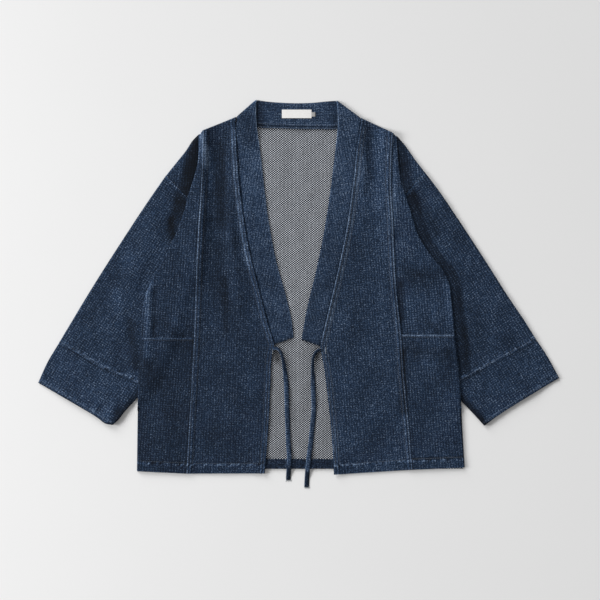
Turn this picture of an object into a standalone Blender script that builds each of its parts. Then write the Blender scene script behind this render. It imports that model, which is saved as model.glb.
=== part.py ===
"""An open-front haori of indigo cloth, laid flat on its back with its sleeves down and its ties hanging free.

The garment lies on z = 0. X is across it, +Y runs up to its collar and the
origin is under the middle of it. Sizes here are in millimetres; MM turns them
into metres where a mesh is made. The tables of one side have x outwards from
the middle line, so that the same functions make the left and the right side.
"""

from collections import namedtuple

import bpy
import numpy as np

MM = 0.001

# Cloth
CLOTH = 1.2            # one layer
BAND = 2.8             # the collar band, folded double with its turnings inside
LABEL = 1.0
SEAM = 0.3             # between two pieces that are sewn edge to edge, or that lie on each other
HALF_SEAM = SEAM / 2

# Heights of the middle of a layer
BACK_MID = CLOTH / 2
SLEEVE_UNDER_MID = CLOTH / 2 + 0.02
TUCKED_MID = CLOTH + SEAM + CLOTH / 2 + 0.05       # a layer lying on the back panel
FRONT_MID = TUCKED_MID + 0.2
BAND_MID = CLOTH + SEAM + BAND / 2 + 0.15
BAND_OVER_MID = BAND + SEAM + BAND / 2 + 0.2       # the band where it crosses the back neck band

# Where a sleeve comes out from under the body: how far out of the body's outline it starts to
# come down or open, and over what width
UNDER_COMES_DOWN = (9, 15)
OVER_OPENS = (8, 16)
CLEAR_OF_BODY = -228   # below this height a cuff lies wholly on the surface
SLEEVE_FULLNESS = 1.7  # hollow between the two sides of a sleeve where it lies free
CUFF_FULLNESS = 2.6    # how much fuller it is at its open end
FULLER = (-60, 150)    # from this height down, over this length
TUCKED_FULLNESS = 0.45
MOST_HOLLOW = 6.5

# How the fronts rise over what lies under them
SLEEVE_LIFT = 3.8      # where a sleeve lies inside
LIFT_RUN = (32, 30)    # from this far inside the sleeve's edge, over this width
BAND_TURNING = 0.5     # beside the band's seam, all the way down
BAND_BESIDE = 1.9      # and more of it where the band lies beside the front
BAND_END = (-125, 30)
BAND_TURNING_WIDTH = 8
NECK_RISE, NECK_RISE_WIDTH = 1.6, 26
HEM_RISE = 1.7         # over the end of the back's hem
HEM_RISE_ACROSS = (95, 14)
HEM_RISE_DOWN = (-312, 12)
TURNING_RISE = 1.1     # the centre front's edge on the side panel's turning
TURNING_EDGE = (13, 6)
ROLL_CLEARANCE = 0.8   # more than a seam between the rolled side and the sleeve
ROLL_REACHES_FLOOR = (246, 20)

# Rolled edges, where cloth turns down to the surface
ROLL = 2.4             # width in plan
BAND_ROLL = 3.6
ROLL_TURN = np.radians([30, 60, 90])
SECOND_ROW_IN = 1.0    # the row next to a rolled shoulder edge
NECK_CORNER_OUT = 1.6  # the front's top corner, beside the band's fold
DROP_TOP = 0.12        # share of the shoulder's slope that belongs to the rolled top edge
DROP_ACROSS = np.array([0, 0.2, 0.42, 0.64, 0.84, 1])
DROP_EDGE_HEIGHT = 3.1
DROP_FULLNESS = 1.1
ARMHOLE_STEP = 1.15    # how far the drop shoulder stands over the sleeve's seam beside the armpit
SHOULDER_FOOT = [(0, 2.6), (2, 2.6), (4, 2.9), (6, 4.95)]   # row, height of the roll's foot
BACK_INSET = 3.4       # from the garment's outline to the back panel's edge
BACK_UNDER_SEAM = 2.0  # how far the back reaches past the armhole seam, under the sleeve

# The collar band's edges
BAND_OUT = 0.4         # how far the inner edge stands out of its line
BAND_EDGE = 0.6        # its thickness at an edge, as a share
BACK_BAND_EDGE = 0.55
BACK_BAND_END = 0.5
BACK_BAND_GAP = 0.2
BACK_BAND_SHARES = (0.034, 0.966)
BAND_FIRST_ROW = 0.028
BAND_ROWS = 27
BAND_FADE = 1.4        # rows over which the fold's inset fades away
BAND_CROSSES = (272, 24)
BAND_FOOT = 0.056

# Pocket, label and ties
POCKET_TOP = {"left": -96.5, "right": -90.5}
LABEL_BOX = (-31.9, 24.3, 321.1, 337.3)
SIZE_TAB_BOX = (24.6, 31.4, 324.1, 332.3)
HEM_STRIP = (-77.0, 77.0, -345.4, -326.8)
TIE_THICK = 1.6
TIE_TOP_WIDTH = 5.6    # where the tape is twisted on to its edge
TIE_WIDTH = 9.0
TIE_TURNS_FLAT = (0.35, 0.4)   # share of its length where it starts to turn, and over what share
TIE_RINGS = 40
TIE_SIDES = 8

Fold = namedtuple("Fold", "x0 y0 x1 y1 height width")
TiePoint = namedtuple("TiePoint", "x y z")

# Outlines of each side, as x, y from the top down
LINES = {
    "left": {
        "shoulder_neck": (122.0, 322.6),
        "band_inner": [(83.3, 356.2), (79.4, 305.5), (73.0, 260.5), (64.6, 187.7), (54.9, 115.1),
                       (40.3, 42.4), (23.4, -18.2), (12.4, -66.7), (9.1, -95.8)],
        "band_seam": [(122.0, 322.6), (119.3, 282.2), (114.6, 209.6), (107.7, 150.3), (99.4, 97.7),
                      (87.4, 40.1), (75.6, -4.2), (60.8, -62.5), (46.5, -109.0)],
        "front_edge": [(46.5, -109.0), (51.6, -133.6), (54.2, -188.9), (57.8, -261.6), (65.0, -354.0)],
        "princess": [(181.8, 298.6), (182.8, 237.7), (185.8, 175.8), (190.0, 114.6), (193.4, 50.0),
                     (197.8, -73.7), (203.1, -175.6), (207.7, -256.3), (213.2, -354.4)],
        "body_side": [(190.2, 290.8), (190.5, 262.0), (192.0, 238.0), (201.0, 202.7), (211.0, 170.0),
                      (224.8, 121.4), (243.6, 79.0), (262.2, 43.3), (282.5, 6.1), (292.6, -21.1),
                      (297.7, -62.5), (300.5, -110.0), (304.8, -178.4), (306.3, -240.0), (307.8, -350.0)],
        "shoulder_slope": [(190.2, 290.8), (201.4, 279.3), (214.2, 260.0), (232.2, 237.4), (252.1, 212.6)],
        "hidden_armhole": [(211.0, 170.0), (193.0, 120.0), (196.0, 55.0), (215.0, 0.0)],
        "sleeve_outer": [(252.1, 212.6), (283.3, 167.8), (341.0, 80.3), (400.0, -13.0), (429.8, -62.5),
                         (457.0, -108.0)],
        "sleeve_inner": [(215.0, 0.0), (240.0, -75.0), (268.0, -145.0), (292.0, -190.0)],
        "cuff_seam": [(457.0, -108.0), (440.2, -115.7), (373.7, -154.5), (335.2, -169.9), (292.0, -190.0)],
        "cuff_outer": [(457.0, -108.0), (477.5, -142.4), (495.4, -181.7)],
        "cuff_inner": [(292.0, -190.0), (305.7, -209.2), (331.9, -238.6), (346.6, -257.0), (352.5, -261.5)],
        "cuff_edge": [(495.4, -181.7), (415.9, -227.4), (381.0, -248.5), (366.1, -259.5), (352.5, -261.5)],
    },
    "right": {
        "shoulder_neck": (121.0, 320.7),
        "band_inner": [(74.9, 354.9), (73.9, 301.3), (69.2, 260.5), (59.5, 180.5), (47.3, 103.0),
                       (31.5, 25.5), (14.8, -42.8), (4.8, -100.1)],
        "band_seam": [(121.0, 320.7), (111.4, 267.7), (105.6, 209.6), (102.2, 184.5), (92.2, 115.1),
                      (77.5, 42.4), (60.6, -30.4), (41.0, -112.4)],
        "front_edge": [(41.0, -112.4), (49.8, -159.8), (54.1, -196.1), (61.4, -261.6), (65.0, -309.5),
                       (67.4, -356.4)],
        "princess": [(178.4, 294.0), (175.2, 217.7), (175.6, 180.0), (178.4, 131.7), (180.7, 73.9),
                     (183.2, 23.0), (187.7, -24.5), (194.6, -87.8), (199.9, -165.1), (206.9, -235.4),
                     (216.4, -347.0)],
        "body_side": [(187.0, 287.6), (189.5, 244.0), (195.9, 199.5), (202.5, 177.0), (216.2, 133.2),
                      (226.5, 101.1), (241.7, 73.9), (258.6, 51.9), (275.7, 29.8), (286.5, 5.0),
                      (290.3, -24.5), (298.3, -97.3), (306.5, -177.1), (309.0, -224.0), (312.4, -288.0),
                      (315.8, -342.6)],
        "shoulder_slope": [(187.0, 287.6), (202.5, 269.6), (217.6, 247.9), (239.0, 219.5)],
        "hidden_armhole": [(202.5, 177.0), (188.0, 125.0), (192.0, 58.0), (210.0, 5.0)],
        "sleeve_outer": [(239.0, 219.5), (261.4, 190.4), (299.1, 135.4), (352.1, 54.6), (402.9, -25.1),
                         (428.3, -62.5), (451.5, -99.5)],
        "sleeve_inner": [(210.0, 5.0), (236.0, -75.0), (264.0, -145.0), (286.0, -191.0)],
        "cuff_seam": [(451.5, -99.5), (440.0, -107.7), (396.5, -130.9), (329.7, -167.2), (286.0, -191.0)],
        "cuff_outer": [(451.5, -99.5), (470.2, -127.4), (495.2, -172.5)],
        "cuff_inner": [(286.0, -191.0), (308.8, -216.2), (333.5, -242.4), (352.5, -263.2)],
        "cuff_edge": [(495.2, -172.5), (416.3, -219.9), (373.0, -247.9), (352.5, -263.2)],
    },
}

# Soft ridges (height above 0) and troughs of the front, and of the upper side of a sleeve
FRONT_FOLDS = {
    "left": [Fold(129, 262, 126, 90, 3.2, 11), Fold(126, 90, 112, -40, 2.0, 14),
             Fold(180, 275, 183, 130, 2.6, 12), Fold(183, 130, 190, -60, 1.2, 16),
             Fold(285, -4, 290, -150, 1.7, 8), Fold(271, -4, 273, -95, -0.5, 6),
             Fold(120, -150, 140, -300, 1.0, 20), Fold(245, -140, 262, -300, 0.9, 22)],
    "right": [Fold(122, 280, 120, 190, 2.4, 11), Fold(166, 285, 166, 100, 3.0, 14),
              Fold(166, 100, 172, -80, 1.5, 16), Fold(230, 25, 246, -20, 1.4, 22),
              Fold(200, -190, 150, -280, 1.2, 16), Fold(100, -60, 95, -230, 1.3, 18),
              Fold(262, -60, 285, -200, 1.0, 14)],
}
SLEEVE_FOLDS = {
    "left": [Fold(275, 120, 318, 0, 1.7, 20), Fold(330, 20, 395, -100, 1.3, 22),
             Fold(318, -60, 330, -150, -0.9, 14), Fold(420, -110, 445, -160, 0.9, 16)],
    "right": [Fold(262, 150, 318, 40, 1.6, 18), Fold(345, 0, 385, -90, 1.5, 24),
              Fold(300, -10, 318, -130, -0.8, 14), Fold(400, -140, 430, -190, 1.0, 20)],
}

# Ties: the middle of the tape from its root to its loose end, in the garment's own x
TIES = {
    "left": [TiePoint(-48.6, -117.0, 3.2), TiePoint(-44.5, -115.6, 3.4), TiePoint(-38.8, -117.6, 3.2),
             TiePoint(-33.4, -125.0, 2.8), TiePoint(-30.2, -136.0, 2.7), TiePoint(-27.0, -154.0, 2.7),
             TiePoint(-24.3, -174.4, 2.7), TiePoint(-23.0, -203.0, 2.7), TiePoint(-22.0, -232.6, 2.7),
             TiePoint(-21.0, -260.0, 2.7), TiePoint(-20.0, -287.3, 2.7), TiePoint(-18.8, -308.0, 2.9),
             TiePoint(-17.9, -322.0, 3.9), TiePoint(-18.0, -334.0, 4.1), TiePoint(-18.6, -345.5, 4.0),
             TiePoint(-19.2, -353.0, 2.6), TiePoint(-19.6, -360.0, 1.4), TiePoint(-19.7, -366.5, 1.25)],
    "right": [TiePoint(41.6, -119.6, 3.2), TiePoint(37.2, -120.4, 3.4), TiePoint(31.8, -125.6, 3.1),
              TiePoint(28.0, -134.0, 2.8), TiePoint(26.7, -146.0, 2.7), TiePoint(27.0, -166.0, 2.7),
              TiePoint(27.5, -188.9, 2.7), TiePoint(28.4, -212.0, 2.7), TiePoint(28.7, -233.5, 2.7),
              TiePoint(26.8, -258.2, 2.7), TiePoint(24.4, -282.0, 2.7), TiePoint(22.2, -301.7, 2.8),
              TiePoint(20.0, -318.0, 3.4), TiePoint(18.4, -330.8, 4.1), TiePoint(17.2, -345.0, 4.0),
              TiePoint(16.4, -353.5, 2.6), TiePoint(15.8, -362.0, 1.4), TiePoint(15.0, -380.2, 1.25)],
}

# How finely each piece is divided
FRONT_ACROSS = np.array([0, 0.05, 0.11, 0.18, 0.27, 0.37, 0.48, 0.59, 0.70, 0.80, 0.88, 0.94, 1])
FRONT_FIRST_ROW = 0.02
FRONT_ROWS = 28
SIDE_ACROSS = np.array([0, 0.10, 0.24, 0.40, 0.56, 0.72, 0.86, 1])
BAND_ACROSS = np.array([0, 0.05, 0.35, 0.65, 0.95, 1])
NECK_SHARES = np.linspace(0.03, 0.97, 11)
BACK_ROWS = 30
ROWS_TO_ARMHOLE = 7
ROWS_TO_POCKET = 12
ROWS_DOWN_POCKET = 11
SLEEVE_ROWS = 17
SLEEVE_COLUMNS = 11
CUFF_ROWS = 4
CUFF_POINTS = 25


def smooth(points, per_span=12):
    """A cubic curve through the points, as a dense line: each span is a Hermite cubic on the chord lengths."""
    points = np.array(points, float)
    if len(points) == 2:
        return points[0] + np.linspace(0, 1, per_span + 1)[:, None] * (points[1] - points[0])
    knots = np.concatenate([[0], np.cumsum(np.linalg.norm(np.diff(points, axis=0), axis=1))])
    slopes = np.gradient(points, knots, axis=0)
    t = np.tile(np.arange(per_span) / per_span, len(points) - 1)
    span = np.repeat(np.arange(len(points) - 1), per_span)
    t, span = np.append(t, 1.0), np.append(span, len(points) - 2)
    length = (knots[span + 1] - knots[span])[:, None]
    t = t[:, None]
    return ((2 * t**3 - 3 * t**2 + 1) * points[span] + (t**3 - 2 * t**2 + t) * length * slopes[span]
            + (3 * t**2 - 2 * t**3) * points[span + 1] + (t**3 - t**2) * length * slopes[span + 1])


def along(line, shares):
    """Points at these shares of a line's length."""
    reach = np.concatenate([[0], np.cumsum(np.linalg.norm(np.diff(line, axis=0), axis=1))])
    shares = np.asarray(shares) * reach[-1]
    return np.stack([np.interp(shares, reach, line[:, k]) for k in range(line.shape[1])], axis=-1)


def x_at(line, y):
    """How far out a line lies at these heights."""
    order = np.argsort(line[:, 1])
    return np.interp(y, line[order, 1], line[order, 0])


def at_heights(line, y):
    """Points of a line that runs down, at these heights."""
    return np.stack([x_at(line, y), np.asarray(y, float)], axis=-1)


def moved_in(line, distance):
    """A line moved sideways by a distance, to the right of its direction."""
    ahead = np.gradient(line, axis=0)
    ahead /= np.linalg.norm(ahead, axis=1)[:, None]
    return line + distance * np.stack([ahead[:, 1], -ahead[:, 0]], axis=1)


def step(value):
    """0 below 0, 1 above 1 and smooth between."""
    value = np.clip(value, 0, 1)
    return value * value * (3 - 2 * value)


def folds(table, x, y):
    """The sum of the folds: each is a bell in the distance from its middle line, which also closes its ends."""
    total = np.zeros_like(x)
    for fold in table:
        run = np.array([fold.x1 - fold.x0, fold.y1 - fold.y0], float)
        share = ((x - fold.x0) * run[0] + (y - fold.y0) * run[1]) / (run @ run)
        share = np.clip(share, 0, 1)
        away = np.hypot(x - fold.x0 - share * run[0], y - fold.y0 - share * run[1])
        total += fold.height * np.exp(-(away / fold.width) ** 2)
    return total


def patch(first, last, start, end, down, across):
    """A grid of plan points between four lines: first and last run across, start and end run down."""
    first, last = along(first, across)[None], along(last, across)[None]
    start, end = along(start, down)[:, None], along(end, down)[:, None]
    u, v = np.asarray(across)[None, :, None], np.asarray(down)[:, None, None]
    corners = ((1 - v) * ((1 - u) * first[:, :1] + u * first[:, -1:])
               + v * ((1 - u) * last[:, :1] + u * last[:, -1:]))
    return (1 - v) * first + v * last + (1 - u) * start + u * end - corners


# The back neck: the seam between the back and the band, and the band's upper edge, left to right
BACK_NECK = smooth([(-116.5, 318.6), (-79.4, 304.4), (-38.0, 301.9), (2.5, 300.3), (40.0, 300.2), (74.0, 300.6),
                    (116.0, 316.8)])
BAND_TOP = smooth([(-83.3, 356.2), (-60.0, 353.0), (-36.5, 351.1), (2.5, 350.0), (30.0, 351.0), (49.4, 353.0),
                   (74.9, 354.9)])


class Side:
    """The lines and the heights of one side of the garment, with x outwards from the middle."""

    def __init__(self, name):
        self.name = name
        self.sign = -1 if name == "left" else 1
        table = LINES[name]
        self.shoulder_neck = np.array(table["shoulder_neck"])
        self.line = {key: smooth(rows) for key, rows in table.items() if isinstance(rows, list)}
        self.inner_edge = np.concatenate([self.line["band_seam"], self.line["front_edge"][1:]])
        self.armpit = self.line["hidden_armhole"][0]
        self.shoulder_tip = self.line["shoulder_slope"][-1]
        # Where the sleeve inside the body ends: its armhole and its underarm fold, and past it below
        inner = np.concatenate([self.line["hidden_armhole"], self.line["sleeve_inner"][1:],
                                self.line["cuff_inner"][1:13]])
        above = [(self.armpit[0] - 14, 205), (self.shoulder_neck[0] + 60, 300)]
        below = [(345, -237), (420, -262)]
        self.sleeve_limit = np.concatenate([np.array(above[::-1]), inner, np.array(below)])
        # The body's silhouette by height, with the drop shoulder down to the armhole seam
        side = self.line["body_side"]
        self.silhouette = np.concatenate([self.shoulder_tip[None], side[side[:, 1] <= self.armpit[1]]])

    def outside(self, x, y, start, width):
        """0 inside the body and 1 outside it, with a smooth step that starts a little way out."""
        share = step((x - x_at(self.silhouette, y) - start) / width)
        return np.where(y < CLEAR_OF_BODY, 1.0, share)

    def sleeve_under(self, x, y):
        """The sleeve's under layer: on the surface outside the body, and on the back panel inside it."""
        return TUCKED_MID + 0.02 + (SLEEVE_UNDER_MID - TUCKED_MID) * self.outside(x, y, *UNDER_COMES_DOWN)

    def sleeve_over(self, x, y):
        """The sleeve's upper layer, a hollow of its own above the under layer."""
        free = self.outside(x, y, *OVER_OPENS)
        full = SLEEVE_FULLNESS + CUFF_FULLNESS * step((FULLER[0] - y) / FULLER[1])
        hollow = TUCKED_FULLNESS + (full - TUCKED_FULLNESS) * free
        hollow += free * folds(SLEEVE_FOLDS[self.name], x, y)
        return self.sleeve_under(x, y) + CLOTH + np.clip(hollow, TUCKED_FULLNESS, MOST_HOLLOW)

    def front(self, x, y):
        """The front and side panels: on the back, up over the sleeve inside, and raised along their seams."""
        lift = step((x - x_at(self.sleeve_limit, y) + LIFT_RUN[0]) / LIFT_RUN[1])
        height = FRONT_MID + SLEEVE_LIFT * lift + folds(FRONT_FOLDS[self.name], x, y)
        from_band = x - x_at(self.inner_edge, y)
        beside_band = step((y - BAND_END[0]) / BAND_END[1])
        height += (BAND_TURNING + BAND_BESIDE * beside_band) * np.exp(-(from_band / BAND_TURNING_WIDTH) ** 2)
        neck = np.hypot(x - self.shoulder_neck[0], y - self.shoulder_neck[1])
        height += NECK_RISE * np.exp(-(neck / NECK_RISE_WIDTH) ** 2)
        height += (HEM_RISE * step((HEM_RISE_ACROSS[0] - x) / HEM_RISE_ACROSS[1])
                   * step((HEM_RISE_DOWN[0] - y) / HEM_RISE_DOWN[1]))
        return np.maximum(height, FRONT_MID)

    def princess_rise(self, x, y):
        """The centre front's edge lies on the side panel's turning, as a strip 10 wide."""
        return TURNING_RISE * step((x - x_at(self.line["princess"], y) + TURNING_EDGE[0]) / TURNING_EDGE[1])

    def side_roll_foot(self, points):
        """How low the body's rolled side comes: to the surface, or just clear of the sleeve under it."""
        x, y = points[..., 0], points[..., 1]
        on_sleeve = self.sleeve_over(x, y) + CLOTH / 2 + SEAM + ROLL_CLEARANCE
        return on_sleeve * step((y + ROLL_REACHES_FLOOR[0]) / ROLL_REACHES_FLOOR[1])

    def place(self, grid):
        """A grid of this side in the garment's own x."""
        grid = grid.copy()
        grid[..., 0] *= self.sign
        return grid


def rolled(grid, outer, inner_height, foot):
    """Three more columns that roll from the grid's last column to the outer line, down to the foot's height."""
    edge = grid[:, -1]
    columns = []
    for turn in ROLL_TURN:
        column = np.empty((len(grid), 3))
        column[:, :2] = edge[:, :2] + np.sin(turn) * (outer - edge[:, :2])
        column[:, 2] = foot + np.cos(turn) * (inner_height - foot)
        columns.append(column)
    return np.concatenate([grid, np.stack(columns, axis=1)], axis=1)


def roll_down(grid, reach, foot=0.0):
    """Three more rows before the first one, which roll away from it by a distance, down to the foot's height."""
    away = grid[0, :, :2] - grid[1, :, :2]
    away /= np.linalg.norm(away, axis=1)[:, None]
    rows = []
    for turn in ROLL_TURN[::-1]:
        row = np.empty((grid.shape[1], 3))
        row[:, :2] = grid[0, :, :2] + np.sin(turn) * reach * away
        row[:, 2] = foot + np.cos(turn) * (grid[0, :, 2] - foot)
        for end, beside in ((0, 1), (-1, -2)):
            inward = row[beside, :2] - row[end, :2]
            row[end, :2] += SEAM * np.sin(turn) * inward / np.linalg.norm(inward)
        rows.append(row)
    return np.concatenate([np.stack(rows), grid])


def quads(rows, columns, closed=False):
    """Faces of a grid of points, by index; a closed grid joins its last column to its first."""
    index = np.arange(rows * columns).reshape(rows, columns)
    if closed:
        index = np.concatenate([index, index[:, :1]], axis=1)
    return np.stack([index[:-1, :-1], index[:-1, 1:], index[1:, 1:], index[1:, :-1]], axis=-1).reshape(-1, 4)


def vertex_normals(points, faces):
    """Unit normals of the points, from the diagonals of the faces round each."""
    across = np.cross(points[faces[:, 2]] - points[faces[:, 0]], points[faces[:, 3]] - points[faces[:, 1]])
    normals = np.zeros_like(points)
    for corner in range(4):
        np.add.at(normals, faces[:, corner], across)
    return normals / np.linalg.norm(normals, axis=1)[:, None]


def wall(name, points, faces, thickness, material):
    """A closed wall: the points moved out and in by half the thickness, and joined along the free edges."""
    points, faces = np.asarray(points, float).reshape(-1, 3), np.asarray(faces)
    half = np.broadcast_to(np.asarray(thickness, float).reshape(-1, 1) / 2, (len(points), 1))
    normals = vertex_normals(points, faces)
    outer, inner = points + half * normals, points - half * normals
    outer[:, 2], inner[:, 2] = np.maximum(outer[:, 2], 0), np.maximum(inner[:, 2], 0)
    ends = np.concatenate([faces[:, [k, (k + 1) % 4]] for k in range(4)])
    count = len(points)
    keys = np.sort(ends, axis=1)
    _, index, times = np.unique(keys, axis=0, return_inverse=True, return_counts=True)
    free = ends[times[index.reshape(-1)] == 1]
    rim = np.stack([free[:, 1], free[:, 0], free[:, 0] + count, free[:, 1] + count], axis=1)
    halves = np.concatenate([faces[:, [0, 1, 2]], faces[:, [0, 2, 3]]])
    all_faces = [*halves, *(halves[:, ::-1] + count), *rim]
    return solid(name, np.concatenate([outer, inner]), all_faces, material)


def solid(name, points, faces, material):
    """A mesh object from points in millimetres and faces, turned to face out."""
    points, faces = np.asarray(points, float), [list(map(int, face)) for face in faces]
    fan = [(face[0], face[k], face[k + 1]) for face in faces for k in range(1, len(face) - 1)]
    corners = points[np.array(fan)]
    if np.linalg.det(corners).sum() < 0:
        faces = [face[::-1] for face in faces]
    mesh = bpy.data.meshes.new(name)
    mesh.from_pydata((points * MM).tolist(), [], faces)
    mesh.materials.append(material)
    mesh.shade_smooth()
    mesh.set_sharp_from_angle(angle=np.radians(40))
    part = bpy.data.objects.new(name, mesh)
    bpy.context.scene.collection.objects.link(part)
    return part


def cloth(name, colour, roughness=0.9):
    """A woven cloth's plain material."""
    material = bpy.data.materials.new(name)
    material.use_nodes = True
    shader = material.node_tree.nodes["Principled BSDF"]
    shader.inputs["Base Color"].default_value = (*colour, 1)
    shader.inputs["Roughness"].default_value = roughness
    shader.inputs["Metallic"].default_value = 0
    return material


def make_back(left, right, indigo):
    """The back: one flat piece on the surface, inside the rolled edges of the fronts."""
    edges = []
    for side in (left, right):
        silhouette = np.concatenate([side.line["shoulder_slope"], side.silhouette[1:]])
        at_seam = (silhouette[:, 1] < side.shoulder_tip[1] - 4) & (silhouette[:, 1] > side.armpit[1] - 1)
        edge = moved_in(silhouette, np.where(at_seam, -BACK_UNDER_SEAM, BACK_INSET)[:, None])
        cut = edge[edge[:, 1] > HEM_STRIP[2]]
        hem_point = np.array([[x_at(edge, HEM_STRIP[2]), HEM_STRIP[2]]])
        edges.append(side.place(np.concatenate([cut, hem_point])))
    left_edge, right_edge = edges
    neck = along(BACK_NECK, [0.01, *NECK_SHARES, 0.99]) - (0, HALF_SEAM)
    top = np.concatenate([left_edge[:1], neck, right_edge[:1]])
    hem = np.stack([left_edge[-1], (0.0, HEM_STRIP[2]), right_edge[-1]])
    reach = np.concatenate([[0], np.cumsum(np.linalg.norm(np.diff(top, axis=0), axis=1))])
    across = reach / reach[-1]
    plan = patch(top, hem, left_edge, right_edge, np.linspace(0, 1, BACK_ROWS), across)
    grid = np.concatenate([plan, np.full((*plan.shape[:2], 1), BACK_MID)], axis=2)
    wall("back", grid, quads(*grid.shape[:2]), CLOTH, indigo)


def make_back_hem(indigo):
    """The back's hem, turned up on the inside, where the open fronts show it."""
    x = np.linspace(HEM_STRIP[0], HEM_STRIP[1], 7)
    rows = np.linspace(HEM_STRIP[3], HEM_STRIP[2], 3)
    grid = np.stack(np.broadcast_arrays(x[None], rows[:, None], CLOTH + SEAM + CLOTH / 2), axis=2)
    wall("back_hem", grid, quads(3, 7), CLOTH, indigo)


def make_back_band(left, right, indigo):
    """The collar band across the back of the neck, between the two folds where it turns to the fronts."""
    upper = along(BAND_TOP, np.linspace(*BACK_BAND_SHARES, len(NECK_SHARES))) - (0, BACK_BAND_GAP)
    lower = along(BACK_NECK, NECK_SHARES) + (0, HALF_SEAM)
    share = np.array([0, 0.03, 0.35, 0.65, 0.97, 1])[:, None, None]
    plan = upper[None] + share * (lower - upper)[None]
    grid = np.concatenate([plan, np.full((*plan.shape[:2], 1), BAND / 2)], axis=2)
    thickness = np.full(grid.shape[:2], BAND)
    thickness[[0, -1]] = BACK_BAND_EDGE * BAND
    thickness[:, [0, -1]] = BACK_BAND_END * BAND
    wall("band_back", grid, quads(*grid.shape[:2]), thickness, indigo)


def make_front_band(side, indigo):
    """One front length of the collar band, from its fold at the shoulder to its loose lower end."""
    inner, seam = side.line["band_inner"], side.line["band_seam"]
    inner, seam = moved_in(inner, -BAND_OUT), moved_in(seam, HALF_SEAM)
    fold = seam[0] - inner[0]
    down_fold = np.array([-fold[1], fold[0]]) / np.linalg.norm(fold)
    down_fold *= -np.sign(down_fold[1])
    inset = BAND / 2 + BAND_ROLL
    shares = np.concatenate([[0], np.linspace(BAND_FIRST_ROW, 1, BAND_ROWS - 1)])
    start, end = along(inner, shares), along(seam, shares)
    plan = start[:, None] + BAND_ACROSS[None, :, None] * (end - start)[:, None]
    fade = np.exp(-np.arange(len(shares)) / BAND_FADE)[:, None, None]
    plan = plan + inset * down_fold * fade
    height = BAND_MID + (BAND_OVER_MID - BAND_MID) * step((plan[..., 1] - BAND_CROSSES[0]) / BAND_CROSSES[1])
    grid = np.concatenate([plan, height[..., None]], axis=2)
    grid = roll_down(grid, BAND_ROLL, BAND_FOOT)
    thickness = np.full(grid.shape[:2], BAND)
    thickness[:, [0, -1]] = BAND_EDGE * BAND
    wall(f"band_{side.name}", side.place(grid), quads(*grid.shape[:2]), thickness, indigo)


def make_front(side, indigo):
    """The centre front: from the band's seam and the open edge out to the seam of the side panel."""
    inner = moved_in(side.inner_edge, -HALF_SEAM)
    outer = moved_in(side.line["princess"], HALF_SEAM)
    roll = ROLL + CLOTH / 2
    shares = np.concatenate([[0], np.linspace(FRONT_FIRST_ROW, 1, FRONT_ROWS - 1)])
    start, end = along(inner, shares), along(outer, shares)
    start[0] += (NECK_CORNER_OUT, -roll)
    end[0] -= (0, roll)
    start[1] -= (0, SECOND_ROW_IN)
    end[1] -= (0, SECOND_ROW_IN)
    plan = start[:, None] + FRONT_ACROSS[None, :, None] * (end - start)[:, None]
    height = side.front(plan[..., 0], plan[..., 1])
    height += side.princess_rise(plan[..., 0], plan[..., 1])
    grid = np.concatenate([plan, height[..., None]], axis=2)
    grid = roll_down(grid, ROLL)
    wall(f"front_{side.name}", side.place(grid), quads(*grid.shape[:2]), CLOTH, indigo)


def side_grid(side):
    """The side panel from the princess seam to its rolled side, with rows from the shoulder to the hem."""
    princess = moved_in(side.line["princess"], -HALF_SEAM)
    silhouette = side.line["body_side"]
    outer = moved_in(silhouette, CLOTH / 2)
    inset = moved_in(silhouette, CLOTH / 2 + ROLL)
    stretches = (ROWS_TO_ARMHOLE - 1, ROWS_TO_POCKET, ROWS_DOWN_POCKET)
    down = np.concatenate([[0]] + [np.linspace(k, k + 1, count + 1)[1:] for k, count in enumerate(stretches)])
    roll = ROLL + CLOTH / 2
    levels = [side.armpit[1], POCKET_TOP[side.name]]
    body_y = np.interp(down, [0, 1, 2, 3], [silhouette[0, 1] - roll, *levels, silhouette[-1, 1]])
    seam_y = np.interp(down, [0, 1, 2, 3], [princess[0, 1] - roll, *levels, princess[-1, 1]])
    start, end = at_heights(princess, seam_y), at_heights(inset, body_y)
    rim = at_heights(outer, body_y)
    plan = start[:, None] + SIDE_ACROSS[None, :, None] * (end - start)[:, None]
    height = side.front(plan[..., 0], plan[..., 1])
    grid = np.concatenate([plan, height[..., None]], axis=2)
    return grid, rim


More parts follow.
